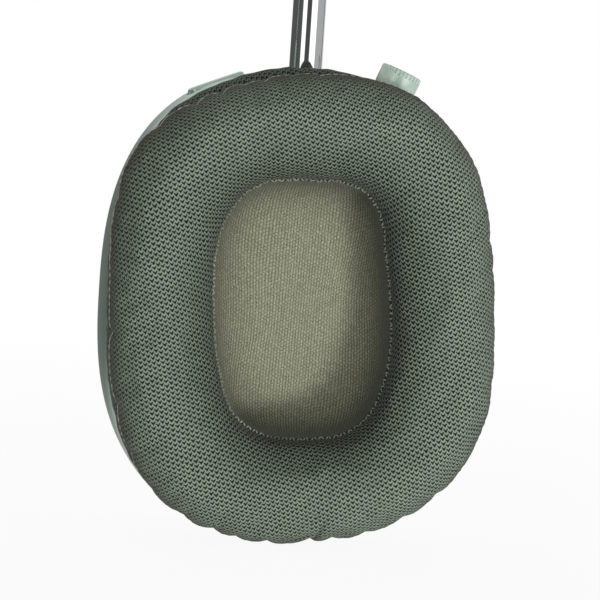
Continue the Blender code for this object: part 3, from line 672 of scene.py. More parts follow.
@dataclass(frozen=True)
class SpacerKnit(Knit):
    """Polyester spacer knit, its face stitched in staggered rows of V-shaped holes.

    The eye reads the dark holes first, then the pale chevrons of yarn between them. Columns of
    holes stand 0.925 mm apart, each half a stitch lower than the next, and a stitch is 1.02 mm.
    """

    name: str = "polyester_spacer_knit"
    column: float = 0.925
    stitch: float = 1.02
    hole: str = "0f1711"
    yarn: str = "768376"
    light: str = "96a491"
    relief: float = 0.28 * MM
    turn: float = math.radians(13.0)
    wander: float = 0.3
    sway: tuple[float, float, float] = (0.5, 0.5, 0.0)
    slope: float = -0.95
    stroke: tuple[float, float] = (0.25, 0.52)
    shadow: str = "485548"
    # The lip's painted shade colour, then its painted highlight colour
    rim_shade_colour: str = "47453b"
    lip_highlight_colour: str = "d8d5cb"
    # Painted shade, as brightness by the distance from the lip in mm: dark where the side band lies
    # in shade, tucked behind the lip, a little darker on the outer slope, which turns from the
    # light, and darker again down the opening's wall, where the recess holds shade
    tucked: Pairs = (
        (-1.2, 0.56), (-0.2, 0.8), (5.0, 0.8), (10.0, 1.0), (15.0, 1.0), (22.0, 0.76), (29.0, 0.54)
    )

    def material(self) -> bpy.types.Material:
        """Makes the material; it reads the cloth's map, the distance from the lip and the fold.

        Returns:
            The material.
        """
        r = Recipe(self.name)
        cloth, across, column, along = self.stitches(r)
        centred = r.add("Math SUBTRACT", r.add("Math FRACT", across), 0.5)
        arm = r.add("Math ABSOLUTE", centred)
        chevron = r.add("Math MULTIPLY_ADD", arm, self.slope, along)
        phase = r.add("Math FRACT", r.add("Math ADD", chevron, 0.2))
        distance = r.add("Math ABSOLUTE", r.add("Math SUBTRACT", phase, 0.5))
        narrowed = r.add("Math MULTIPLY_ADD", arm, 0.32, distance)
        fibre = r.add("TexNoise", Vector=cloth, Scale=3.4, Detail=3.0)
        frayed = r.add("Math MULTIPLY_ADD", fibre, 0.22, narrowed)
        lip = (r.add("Attribute", attribute_name=Cloth.LIP.value), "Fac")
        # Bent over into the opening, the knit gapes and its holes look wider
        gaping = r.add("MapRange", lip, 19.0, 28.0, 0.0, 0.09)
        opened = r.add("Math SUBTRACT", frayed, gaping)
        height = r.add("MapRange SMOOTHSTEP", opened, *self.stroke)
        tones = ((0.0, self.hole), (0.3, self.shadow), (0.7, self.yarn), (1.0, self.light))
        colour = r.add("ValToRGB", height, stops=tones)
        patch = r.add("TexNoise", Vector=cloth, Scale=0.06, Detail=3.0)
        uneven = r.add("Math MULTIPLY_ADD", patch, 0.3, 0.85)
        both = r.add("Math MULTIPLY", self.lots(r, column, along, 0.16), uneven)
        toned = r.add("VectorMath SCALE", colour, Scale=both)
        # Painted shade by the distance from the lip, as the tucked table gives
        low, high = -2.0, 30.0
        levels = [((place - low) / (high - low), level) for place, level in self.tucked]
        inner = r.add("ValToRGB", r.add("MapRange", lip, low, high), stops=levels)
        # Painted shade in the creases: the deeper the fold, the darker the knit
        fold = (r.add("Attribute", attribute_name=Cloth.FOLD.value), "Fac")
        shut = r.add("MapRange SMOOTHSTEP", fold, 0.15, 1.0, 1.0, 0.22)
        painted_shade = r.add("Math MULTIPLY", inner, shut)
        deep = r.add("VectorMath SCALE", toned, Scale=painted_shade)
        # Painted shade in grey-brown over the lip, where the knit turns away from the light, with a
        # thread's width of painted highlight along its edge
        behind = r.add("MapRange SMOOTHSTEP", lip, -0.6, -0.1)
        rim_shade_fade = r.add("MapRange SMOOTHSTEP", lip, 0.6, 5.4, 0.78, 0.0)
        rim_shade_share = r.add("Math MULTIPLY", rim_shade_fade, behind)
        warm = r.add("Mix RGBA", {0: rim_shade_share, 6: deep, 7: linear(self.rim_shade_colour)})
        # Painted highlight: a pale line along the lip's edge, where the knit catches the light
        lip_highlight_fade = r.add("MapRange SMOOTHSTEP", lip, 0.15, 0.8, 1.0, 0.0)
        rim = r.add("Math MULTIPLY", lip_highlight_fade, behind)
        edged = r.add("Mix RGBA", {0: rim, 6: (warm, 2), 7: linear(self.lip_highlight_colour)})
        bump = r.add("Bump", Height=height, Strength=0.7, Distance=self.relief)
        return r.finish(
            Base_Color=(edged, 2), Roughness=0.9, Specular_IOR_Level=0.25, Sheen_Weight=0.1,
            Sheen_Roughness=0.5, Normal=bump,
        )


@dataclass(frozen=True)
class RibKnit(Knit):
    """Fine rib-knit lining, warmer than the cover: upright wales 0.59 mm apart."""

    name: str = "fine_rib_knit_lining"
    column: float = 0.59
    stitch: float = 0.755
    hole: str = "5d5f4c"
    yarn: str = "aaac93"
    light: str = "cdceb7"
    relief: float = 0.12 * MM
    turn: float = math.radians(-1.5)
    wander: float = 0.8
    sway: tuple[float, float, float] = (0.3, 0.5, 0.0)

    def material(self) -> bpy.types.Material:
        """Makes the material; it reads the cloth's map and the distance from the sewn edge.

        Returns:
            The material.
        """
        r = Recipe(self.name)
        cloth, across, column, along = self.stitches(r)
        rib = r.add("Math PINGPONG", across, 0.5)
        knot = r.add("Math PINGPONG", along, 0.5)
        mound = r.add("Math MULTIPLY", rib, r.add("Math ADD", knot, 0.3))
        fibre = r.add("TexNoise", Vector=cloth, Scale=3.6, Detail=3.0)
        frayed = r.add("Math MULTIPLY_ADD", fibre, 0.8, mound)
        height = r.add("MapRange", frayed, 0.3, 0.84)
        tones = ((0.0, self.hole), (0.6, self.yarn), (1.0, self.light))
        colour = r.add("ValToRGB", height, stops=tones)
        # Painted shade down the opening's wall: the knit darkens towards its sewn edge, where the
        # recess holds shade
        edge = (r.add("Attribute", attribute_name=Cloth.EDGE.value), "Fac")
        painted_edge_shade = r.add("MapRange SMOOTHSTEP", edge, 0.0, 19.0, 0.14, 1.0)
        dark = r.add("Math MULTIPLY", self.lots(r, column, along, 0.2), painted_edge_shade)
        toned = r.add("VectorMath SCALE", colour, Scale=dark)
        bump = r.add("Bump", Height=height, Strength=0.5, Distance=self.relief)
        return r.finish(
            Base_Color=toned, Roughness=0.92, Specular_IOR_Level=0.2, Sheen_Weight=0.2, Normal=bump
        )


@dataclass(frozen=True)
class OpenMesh(Knit):
    """Breathable canopy mesh: a warp knit with oval holes in staggered rows, 2 mm apart."""

    name: str = "warp_knit_canopy_mesh"
    column: float = 1.1
    stitch: float = 2.0
    hole: str = "222a24"
    yarn: str = "76857a"
    light: str = "93a296"
    relief: float = 0.35 * MM

    def material(self) -> bpy.types.Material:
        """Makes the material; it reads the cloth's map.

        Returns:
            The material.
        """
        r = Recipe(self.name)
        cloth, across, _, along = self.stitches(r)
        local = r.add("CombineXYZ", r.add("Math FRACT", across), r.add("Math FRACT", along))
        away = r.add("VectorMath SUBTRACT", local, (0.5, 0.5, 0.0))
        oval = r.add("VectorMath MULTIPLY", away, (1.0, 1.15, 0.0))
        reach = (r.add("VectorMath LENGTH", oval), "Value")
        fibre = r.add("TexNoise", Vector=cloth, Scale=3.0, Detail=3.0)
        frayed = r.add("Math MULTIPLY_ADD", fibre, 0.16, reach)
        height = r.add("MapRange SMOOTHSTEP", frayed, 0.36, 0.56)
        tones = ((0.0, self.hole), (0.5, self.yarn), (1.0, self.light))
        colour = r.add("ValToRGB", height, stops=tones)
        bump = r.add("Bump", Height=height, Strength=0.8, Distance=self.relief)
        return r.finish(
            Base_Color=colour, Roughness=0.85, Specular_IOR_Level=0.3, Sheen_Weight=0.2, Normal=bump
        )


@dataclass(frozen=True)
class Grained:
    """A hard or soft-touch surface whose colour and gloss vary a little with a fine grain.

    The grain is given in millimetres. One finer than 0.2 mm would not show, so it is drawn at
    0.25 mm or more.
    """

    name: str
    colour: str
    tint: str
    roughness: float
    metallic: float = 0.0
    grain: float = 0.3
    relief: float = 0.01 * MM
    gloss_range: float = 0.08
    coat: float = 0.0
    patches: float = 1.0
    stretch: tuple[float, float, float] = (1.0, 1.0, 1.0)

    def material(self) -> bpy.types.Material:
        """Makes the material; it reads Object coordinates.

        Returns:
            The material.
        """
        r = Recipe(self.name)
        spot = (r.add("TexCoord"), "Object")
        laid = r.add("Mapping", spot, Scale=self.stretch)
        fine = r.add("TexNoise", Vector=laid, Scale=1.0 / (self.grain * MM), Detail=3.0)
        broad = r.add("TexNoise", Vector=spot, Scale=90.0, Detail=4.0)
        patchy = r.add("Math MULTIPLY_ADD", broad, self.patches, 0.5 - 0.5 * self.patches)
        mixed = r.add("Math MULTIPLY_ADD", fine, 0.4, patchy)
        factor = r.add("MapRange", mixed, 0.45, 0.95)
        colour = r.add("ValToRGB", factor, stops=((0.0, self.colour), (1.0, self.tint)))
        gloss = (max(0.02, self.roughness - self.gloss_range), self.roughness + self.gloss_range)
        rough = r.add("MapRange", factor, 0.0, 1.0, *gloss)
        bump = r.add("Bump", Height=fine, Strength=0.5, Distance=self.relief)
        return r.finish(
            Base_Color=colour, Metallic=self.metallic, Roughness=rough, Coat_Weight=self.coat,
            Normal=bump,
        )


@dataclass(frozen=True)
class WoundCopper:
    """Enamelled copper wire wound in even turns, drawn 0.5 mm apart along the coil's axis."""

    name: str = "enamelled_copper_winding"
    pitch: float = 0.5

    def material(self) -> bpy.types.Material:
        """Makes the material; it reads Object coordinates.

        Returns:
            The material.
        """
        r = Recipe(self.name)
        spot = (r.add("TexCoord"), "Object")
        turns_per_unit = 0.314 / (self.pitch * MM)
        wire = (r.add("TexWave", spot, Scale=turns_per_unit, bands_direction="Y"), "Fac")
        colour = r.add("ValToRGB", wire, stops=((0.0, "5a2c14"), (1.0, "c77a4a")))
        bump = r.add("Bump", Height=wire, Strength=0.6, Distance=0.1 * MM)
        return r.finish(Base_Color=colour, Metallic=1.0, Roughness=0.32, Normal=bump)


@dataclass(frozen=True)
class WireMesh:
    """Woven black wire mesh behind a slot, drawn at 0.4 mm, coarser than the real one."""

    name: str = "woven_wire_mesh"
    pitch: float = 0.4

    def material(self) -> bpy.types.Material:
        """Makes the material; it reads Object coordinates.

        Returns:
            The material.
        """
        r = Recipe(self.name)
        spot = (r.add("TexCoord"), "Object")
        holes = r.add("TexVoronoi", Vector=spot, Scale=1.0 / (self.pitch * MM), Randomness=0.0)
        colour = r.add("ValToRGB", holes, stops=((0.2, "050505"), (0.5, "3a3d3b")))
        bump = r.add("Bump", Height=holes, Strength=0.8, Distance=0.1 * MM)
        return r.finish(Base_Color=colour, Metallic=0.8, Roughness=0.45, Normal=bump)


@dataclass(frozen=True)
class PrintedBoard:
    """Glass-epoxy board under green solder mask, with copper tracks every 1.2 mm and black chips."""

    name: str = "glass_epoxy_circuit_board"
    chip_face: float = 19.45 * MM
    track: float = 1.2 * MM

    def material(self) -> bpy.types.Material:
        """Makes the material; it reads Object coordinates.

        Returns:
            The material.
        """
        r = Recipe(self.name)
        spot = (r.add("TexCoord"), "Object")
        laid = r.add("Mapping", spot, Rotation=(math.pi / 2, 0.0, 0.0))
        tracks = r.add(
            "TexBrick", laid, Scale=1.0, Brick_Width=3 * self.track, Row_Height=self.track,
            Mortar_Size=self.track / 10, Color1=linear("12482c"), Color2=linear("0f3d26"),
            Mortar=linear("3f7a45"),
        )
        depth = (r.add("SeparateXYZ", spot), "Y")
        chip = r.add("Math LESS_THAN", depth, self.chip_face)
        colour = r.add("Mix RGBA", {0: chip, 6: tracks, 7: linear("17181a")})
        return r.finish(Base_Color=(colour, 2), Roughness=0.4)


class Finishes:
    """Every finish of the headset, made once."""

    def __init__(self) -> None:
        """Makes the materials, by the record's material slots."""
        satin = {"grain": 0.25, "gloss_range": 0.02, "relief": 0.0015 * MM, "patches": 0.15}
        finishes = {
            "cushion_knit": SpacerKnit(),
            "lining_knit": RibKnit(),
            "canopy_knit": OpenMesh(),
            "copper": WoundCopper(),
            "dark_mesh": WireMesh(),
            "circuit_board": PrintedBoard(),
            # Bead-blasted, then anodised: a satin metal whose dye leaves a soft green tint
            "anodised_metal": Grained(
                "anodised_aluminium_satin", "a8bcae", "b3c6b9", 0.28, metallic=0.7, **satin
            ),
            # Buffed to a mirror: nearly all of its look is what it reflects
            "polished_steel": Grained(
                "polished_stainless_steel", "d9dadc", "e4e5e6", 0.05, metallic=1.0,
                gloss_range=0.02, relief=0.0008 * MM, stretch=(1.0, 1.0, 0.08),
            ),
            # Turned and left bare: fine rings from the tool, a soft grey gloss
            "plain_steel": Grained(
                "turned_steel", "8d8f92", "a9abae", 0.3, metallic=1.0, stretch=(0.1, 0.1, 1.0)
            ),
            # Spark-eroded mould texture: a dry, dark, slightly speckled plastic
            "dark_plastic": Grained(
                "moulded_polycarbonate_dark", "242a26", "2f3632", 0.5, relief=0.02 * MM
            ),
            # A thin elastomer over steel: matt, with a faint bloom where hands rub it
            "soft_touch": Grained(
                "soft_touch_elastomer", "5c6a60", "67766b", 0.55, relief=0.015 * MM, coat=0.05
            ),
            # Film shrunk with hot air: a dark half gloss, in slow ripples 2 mm apart
            "battery_wrap": Grained(
                "heat_shrink_battery_wrap", "1a1c22", "26292f", 0.35, grain=2.0, relief=0.05 * MM
            ),
            # Film under a coat of metal vapour: a soft silver sheen
            "membrane": Grained(
                "titanium_coated_membrane", "8c8e92", "a2a4a8", 0.3, metallic=0.6, grain=0.6
            ),
            # Moulded clear, its face frosted: an even, milky white
            "light_lens": Grained(
                "frosted_acrylic_lens", "e8ebe8", "f2f4f2", 0.35, relief=0.004 * MM
            ),
        }
        self.by_slot = {slot: finish.material() for slot, finish in finishes.items()}
        # For the turned controls, a paler, less mirror-like copy of the same anodised finish: its
        # paler colour is painted light, standing in for the highlights that the crown catches
        self.painted_lit_anodised = Grained(
            "anodised_aluminium_painted_lit", "c3d5c8", "cfded3", 0.32, metallic=0.45, **satin
        ).material()
        # Spun polyester thread, lighter than the cloth it holds
        self.thread = Grained(
            "polyester_thread", "7f8a75", "b0b8a2", 0.8, grain=0.35, relief=0.05 * MM
        ).material()

    def dress_nodes(self) -> None:
        """Gives every CAD node the finish of its slot."""
        for entry in frame["record"]["subparts"]:
            node = frame["nodes"].get(entry["node"])
            if node is not None:
                node.data.materials.clear()
                node.data.materials.append(self.by_slot[entry["material_slot"]])

    def dress(
        self, piece: bpy.types.Object, body: str, slot: str, *replaces: str,
        material: bpy.types.Material | None = None,
    ) -> bpy.types.Object:
        """Gives a piece its finish, its body and the CAD nodes that it stands for.

        Args:
            piece: The piece, in place.
            body: The CAD body that it rides on.
            slot: The record's material slot.
            replaces: The CAD nodes that it stands for.
            material: Its finish, where it isn't the slot's.

        Returns:
            The piece.
        """
        piece.data.materials.clear()
        piece.data.materials.append(material or self.by_slot[slot])
        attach(piece, body)
        if replaces:
            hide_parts(*replaces)
        LOG.info("%s: %d faces", piece.name, len(piece.data.polygons))
        return piece


@dataclass
class SidePart:
    """What the parts of one side have in common."""

    side: Side
    cup: CupSizes
    finishes: Finishes

    def named(self, word: str) -> str:
        """A piece's, node's or body's name on this side."""
        return f"{self.side.label}_{word}"

    def in_cup(self, shape: bmesh.types.BMesh) -> bmesh.types.BMesh:
        """A shape moved from the cup's own frame to its place."""
        return moved(shape, Matrix.Translation(self.cup.origin(self.side)))


# ------------------------------------------------------------------ ear cushion


@dataclass(frozen=True)
class Gather:
    """A spot on the lip where the cover is drawn in.

    Attributes:
        turn: Where it is, in degrees from +x towards +z.
        depth: How far it is drawn in, in mm.
        spread: How far it reaches along the lip, in mm.
        run: How far its crease runs in over the front, in mm.
        lean: How far the crease drifts along the lip for each mm that it runs in.
        fold: How deep the crease is folded shut, in mm.
    """

    turn: float
    depth: float
    spread: float = 1.9
    run: float = 5.0
    lean: float = 0.0
    fold: float = 0.0


# The gathers along the right cushion's lip, anticlockwise from its right side
RIGHT_GATHERS = (
    Gather(8.6, 0.35, 1.7), Gather(16.1, 0.4, 1.8), Gather(90.1, 0.45, 1.5),
    Gather(94.8, 0.35, 1.6), Gather(102.1, 0.8, 1.6), Gather(108.2, 0.4, 1.6),
    Gather(115.0, 1.2, 1.7, 6.0), Gather(124.1, 1.2, 1.7, 6.0), Gather(137.5, 0.5, 2.2),
    Gather(161.1, 0.6, 2.2), Gather(184.2, 0.75, 1.2, 7.0), Gather(201.0, 0.6, 2.2),
    Gather(215.0, 0.7, 2.2), Gather(227.0, 0.4, 2.0), Gather(240.4, 0.8, 2.2, 6.0),
    Gather(250.6, 0.8, 2.0, 6.0), Gather(258.5, 0.5, 1.8), Gather(266.1, 0.7, 1.8),
    Gather(272.6, 1.1, 1.5, 8.5, lean=0.3, fold=1.3), Gather(278.2, 0.9, 1.8, 6.0),
    Gather(287.7, 0.7, 2.0), Gather(301.0, 0.7, 2.2, 6.0), Gather(314.9, 0.6, 2.2),
)

# How far the right cushion's lip stands out (+) or in (-) of its even outline, in mm, by the
# angle from +x towards +z in degrees. The soft ring sits a little askew on its cup.
RIGHT_SWELL = (
    (4, -0.2), (14, -0.35), (24, -0.65), (34, -0.55), (44, 0.0), (54, -0.1), (60, 0.25),
    (66, 0.8), (74, 0.95), (85, 0.95), (91, 0.9), (96, 0.65), (101, 0.4), (108, -0.15),
    (114, 0.25), (118, 0.45), (122, 0.85), (126, 1.25), (130, 1.9), (138, 2.9), (145, 3.2),
    (152, 2.9), (159, 2.2), (166, 1.45), (175, 0.85), (184, 0.6), (190, 0.5), (211, 0.5),
    (223, 0.85), (243, 0.95), (254, 0.85), (264, 0.95), (274, 0.4), (284, 0.0), (294, -0.15),
    (304, 0.25), (314, 1.05), (324, 1.5), (334, 1.8), (344, 1.05), (354, 0.45),
)

# How far the side band bulges past its even outline, in mm, by the same angle. It shows above
# the lip at the top of the cushion, where the front panel has sunk.
RIGHT_BULGE = (
    (50, 0.0), (68, 0.0), (78, 0.5), (88, 1.2), (98, 1.35), (105, 1.15), (115, 0.6), (125, 0.4),
    (140, 0.1), (155, 0.0),
)

# How far the right cushion's opening is pulled out (+) or in (-) of its even outline, in mm, by
# the same angle: squarer at its upper left and lower right, as its lining holds it.
RIGHT_OPENING = (
    (0, -0.3), (18, -0.9), (31, -1.3), (41, -1.2), (51, 0.0), (58, 0.85), (66, 1.3), (78, 0.95),
    (88, 0.35), (100, 0.55), (113, 1.6), (121, 2.2), (136, 2.4), (152, 1.8), (169, 1.1),
    (184, 0.65), (198, 0.3), (220, 0.0), (229, 0.4), (238, 0.8), (250, 0.5), (266, 0.2),
    (280, 0.0), (287, 0.5), (296, 0.9), (305, 1.1), (324, 0.65), (342, 0.2),
)


def swell_at(table: Pairs, point: Vector) -> float:
    """A swell table's value at a point's angle in the cup's plane, smooth between its entries.

    Args:
        table: The (angle, height) entries.
        point: The point, in the cup's own frame.

    Returns:
        The height, in mm.
    """
    angle = math.degrees(math.atan2(point.z, point.x)) % 360
    ring = [(table[-1][0] - 360, table[-1][1]), *table, (table[0][0] + 360, table[0][1])]
    for (start, low), (end, high) in zip(ring, ring[1:]):
        if start <= angle <= end:
            return blend(low, high, ease((angle - start) / (end - start)))
    return 0.0


def mirrored(table: Pairs, share: float) -> Pairs:
    """A swell table for the other side, with this share of each height."""
    return tuple(sorted(((540 - angle) % 360, share * height) for angle, height in table))


def outwards(point: Vector) -> Vector:
    """The direction out from the cup's middle, in its plane."""
    return Vector((point.x, 0, point.z)).normalized()


@dataclass
class EarCushion(SidePart):
    """The stuffed ring: a knit front panel rolled over a tucked side band, and its lining."""

    ring_width: float = 21.7 * MM
    crown: float = -31.6 * MM
    lip: float = -19.9 * MM
    opening: float = -22.5 * MM
    back: float = -12.5 * MM
    fullness: float = 2.3
    around: int = 400
    front_steps: int = 61
    seed: int = 7
    # The lining's dish
    lining_floor: float = -11.5 * MM
    lining_reach: float = 9.5 * MM
    lining_sides: int = 200
    stitch_pitch: float = 0.8 * MM
    # In mm: how far the lip stands out between gathers, and how far along it one gather reaches
    slack: float = 0.35
    gather_reach: float = 9.0
    # How much of a gather's depth pulls the lip in, and how much creases the front
    pull: float = 1.35
    crease: float = 0.64
    # In mm: how far over the front the swell and the gathers reach, and how high the cloth sways
    swell_reach: float = 9.0
    pull_reach: float = 3.2
    sway: float = 0.25
    # In mm: how wide the puckers at the opening's seam are, and how high, there and on the band
    seam_width: float = 3.0
    seam_pucker: float = 0.35
    band_pucker: float = 0.3
    # The simulation: how firmly the foam holds, how large the knit is cut, how far it may move
    foam: float = 0.04
    ease_in: float = 0.015
    cap: float = 0.6 * MM
    frames: int = 20
    gathers: tuple[Gather, ...] = ()
    swell: Pairs = ()
    bulge: Pairs = ()
    widening: Pairs = ()
    slump: Vector = field(default_factory=lambda: Vector((-0.12, 0, 0.52)))

    def __post_init__(self) -> None:
        """Works out the outline, the stations of the section and the gathers."""
        self.outline = self.cup.outline().inset(self.cup.cushion_margin)
        self.turns = self.outline.even_turns(self.around)
        self.lip_length = self.outline.length() / MM
        self.stations = self.section()
        points = [point for _, point in self.stations]
        self.section_reach = reaches(points + points[:1], MM)
        fronts = [k for k, (panel, _) in enumerate(self.stations) if panel is Panel.FRONT]
        self.ridge_reach = self.section_reach[max(fronts, key=lambda k: -points[k].y)]
        # How far each station is from the lip's edge along the cover, negative on the band
        edge = self.section_reach[min(fronts, key=lambda k: points[k].x)]
        end = self.section_reach[-1] + edge
        self.lip_reach = [
            reach - end if panel is Panel.BAND else abs(reach - edge)
            for reach, (panel, _) in zip(self.section_reach, self.stations)
        ]
        self.gathers = self.gathers or self.random_gathers()
        self.spots = [(self.place_of(math.radians(g.turn)), g) for g in self.gathers]

    def random_gathers(self) -> tuple[Gather, ...]:
        """Gathers for a cushion that isn't seen in the photograph, 9 to 17 mm apart.

        Returns:
            The gathers.
        """
        rng = random.Random(self.seed)
        made, place, margin = [], 4.0, 6.0
        while place < self.lip_length - margin:
            turn = self.turns[int(place / self.lip_length * self.around) % self.around]
            depth, spread = rng.uniform(0.35, 1.1), rng.uniform(1.5, 2.3)
            made.append(Gather(math.degrees(turn), depth, spread, rng.uniform(4.0, 7.0)))
            place += rng.uniform(9.0, 17.0)
        return tuple(made)

    def along_lip(self, i: int) -> float:
        """How far along the lip, in mm, the point of this number is."""
        return self.lip_length * i / self.around

    def place_of(self, turn: float) -> float:
        """How far along the lip, in mm, a turn is.

        Args:
            turn: The turn, in radians.

        Returns:
            The distance from turn 0.
        """
        half = math.pi
        away = [abs((t - turn + half) % (2 * half) - half) for t in self.turns]
        return self.along_lip(away.index(min(away)))

    def section(self) -> list[tuple[Panel, Vector]]:
        """The cover's section as (panel, (inset, depth)) stations, closed from end to start.

        Returns:
            The stations, from the seam under the lip over the front, down the opening's wall,
            along the back and up the side band.
        """

        def near(depth: float, *pairs: tuple[float, float]) -> list[Vector]:
            """Points from (inset, distance from this depth) pairs in mm."""
            return [Vector((inset * MM, depth + off * MM)) for inset, off in pairs]

        middle = self.ring_width / 2
        front = near(self.lip, (1.6, 0.7), (0.9, 0.45), (0.3, 0.1))
        for i in range(4, self.front_steps):
            angle = math.pi * i / self.front_steps
            inset = middle - middle * power(math.cos(angle), 2 / self.fullness)
            base = blend(self.lip, self.opening, i / self.front_steps)
            rise = math.sin(angle) ** (2 / self.fullness)
            front.append(Vector((inset, blend(base, self.crown, rise))))
        front.append(Vector((self.ring_width, self.opening + 0.2 * MM)))
        wall = [
            front[-1],
            Vector((self.ring_width, (self.opening + self.back) / 2)),
            Vector((self.ring_width - 1.2 * MM, self.back)),
        ]
        back = [wall[-1], Vector((2.6 * MM, self.back))]
        tuck = ((2.2, 1.2), (1.2, 1.6), (0.3, 1.5), (-0.25, 0.6), (-0.35, -1.2), (-0.1, -3.4))
        band = [back[-1], *near(self.back, *tuck), *near(self.lip, (0.6, 2.0)), front[0]]
        lines = (front, wall, back, band)
        made: list[tuple[Panel, Vector]] = []
        for panel, line, count in zip(Panel, lines, (52, 6, 6, 12)):
            made += [(panel, point) for point in resampled(line, count)[:-1]]
        return made

    def drawn_in(self, place: float, from_lip: float) -> tuple[float, float, float]:
        """How the gathers pull at a place on the cover.

        Args:
            place: How far along the lip, in mm.
            from_lip: How far in from the lip, in mm.

        Returns:
            How far the lip is drawn in there, the depth of the crease, and how deep the cloth is
            folded shut in it, all in mm.
        """
        total = self.lip_length
        inward, crease, folded = -self.slack, 0.0, 0.0
        for spot, gather in self.spots:
            off = (place - spot + total / 2) % total - total / 2
            if abs(off) > self.gather_reach:
                continue
            inward += self.pull * gather.depth * faded(off, gather.spread, 1.05)
            off -= gather.lean * max(0.0, from_lip)
            line = faded(off, 0.5 * gather.spread, 2) * faded(from_lip, gather.run, 1.6)
            crease += self.crease * gather.depth * line
            folded += gather.fold * line
        return inward, crease, folded

    def widened(self, point: Vector, share: float) -> Vector:
        """A point moved out by this share of how much wider the opening is there."""
        return point + outwards(point) * swell_at(self.widening, point) * share * MM

    def place(self, station: int, i: int) -> Vector:
        """The cover's point at a station of the section.

        Args:
            station: The station's number.
            i: The point's number round the ring.

        Returns:
            The point, in the cup's own frame.
        """
        panel, (inset, depth) = self.stations[station]
        point = self.outline.inset(inset).at(self.turns[i], depth)
        point = self.widened(point, (max(0.0, inset) / self.ring_width) ** 1.5)
        outward = outwards(point)
        place = self.along_lip(i)
        from_lip = self.lip_reach[station]
        inward, crease, folded = self.drawn_in(place, from_lip)
        broad = swell_at(self.swell, point)
        bulge = swell_at(self.bulge, point)
        if panel is Panel.FRONT:
            point += outward * broad * faded(from_lip, self.swell_reach, 1.8) * MM
            point += self.slump * MM
            point -= outward * inward * faded(from_lip, self.pull_reach, 1.3) * MM
            point.y += (crease + folded) * MM
            sway = noise.noise(point * 90.0 + Vector((self.seed, 0, 0)))
            point.y += sway * self.sway * MM * ease(from_lip / 6.0)
            to_seam = (self.ring_width - inset) / MM
            if to_seam < self.seam_width:
                ruck = noise.noise(Vector((place * 0.55, self.seed, 0.0)))
                point.y += self.seam_pucker * ruck * (1 - to_seam / self.seam_width) * MM
        elif panel is Panel.BAND:
            share = (self.back - depth) / (self.back - self.lip)
            swollen = math.sin(math.pi * min(1.0, max(0.0, share))) ** 0.7
            point += outward * bulge * swollen * MM
            held = ease((self.back + 1.0 * MM - depth) / (6.0 * MM))
            point += outward * min(1.3, max(broad, -0.1)) * held * MM
            point += self.slump * held * MM
            point -= outward * inward * faded(from_lip, 3.0, 1.5) * 0.5 * MM
            ruck = noise.noise(Vector((place * 0.35, from_lip * 0.2, self.seed)))
            point -= outward * ruck * self.band_pucker * ease(-from_lip / 2.0) * MM
        return point

    def chart(self, panel: Panel, station: int, i: int) -> Vector:
        """Where a point of the cover is on its flat cloth.

        The front panel is one flat piece, so its map keeps the plane's own directions and only
        spreads along the section. The other panels are strips along the ring.

        Args:
            panel: The point's panel.
            station: Its station's number, or one past the last.
            i: Its number round the ring, or one past the last.

        Returns:
            The place, in mm.
        """
        reach = self.section_reach[station]
        if panel is not Panel.FRONT:
            return Vector((self.along_lip(i), reach, 0))
        turn = self.turns[i % self.around]
        middle = self.outline.inset(self.ring_width / 2).at(turn)
        outward = (self.outline.at(turn) - middle).normalized()
        spread = middle / MM + outward * (self.ridge_reach - reach)
        return Vector((spread.x, spread.z, 0))

    def build(self) -> bpy.types.Object:
        """Makes the cover.

        Returns:
            The finished cushion.
        """
        count = len(self.stations)
        rings = [lambda i, k=k: self.place(k, i) for k in range(count)]
        skin = Skin(self.around, rings).close(joined=True)
        put_in_order(skin.mesh)
        skin.map_cloth(lambda k: self.stations[min(k, count) - 1][0], self.chart)
        edge = skin.mesh.verts.layers.float.new(Cloth.LIP.value)
        fold = skin.mesh.verts.layers.float.new(Cloth.FOLD.value)
        hold, caps = [], []
        for vert in skin.mesh.verts:
            station, i = vert[skin.ring], vert[skin.around]
            vert[edge] = self.lip_reach[station]
            place, on_front = self.along_lip(i), vert[edge] > -0.8
            vert[fold] = self.drawn_in(place, vert[edge])[2] if on_front else 0.0
            hold.append(self.held(station, i))
            caps.append(self.cap * blend(0.2, 1.0, ease(vert[edge] / 8.0)))
        made = new_object(self.named("cushion_cover"), self.in_cup(skin.mesh), 60.0)
        self.settle(made, hold, caps)
        self.finishes.dress(made, self.named("cup"), "cushion_knit", self.named("cushion"))
        return made

    def held(self, station: int, i: int) -> float:
        """How firmly the simulation holds a point: fully at seams, a little over the foam.

        Args:
            station: The point's place along the section.
            i: Its number round the ring.

        Returns:
            The pin weight, from 0 to 1.
        """
        panel, (inset, _) = self.stations[station]
        to_seam = (self.ring_width - inset) / MM
        if panel is not Panel.FRONT or station == 0 or to_seam < 0.3:
            return 1.0
        from_lip = self.lip_reach[station]
        _, crease, folded = self.drawn_in(self.along_lip(i), from_lip)
        return min(1.0, self.foam + faded(from_lip, 1.6, 1) * 0.5 + crease + folded)

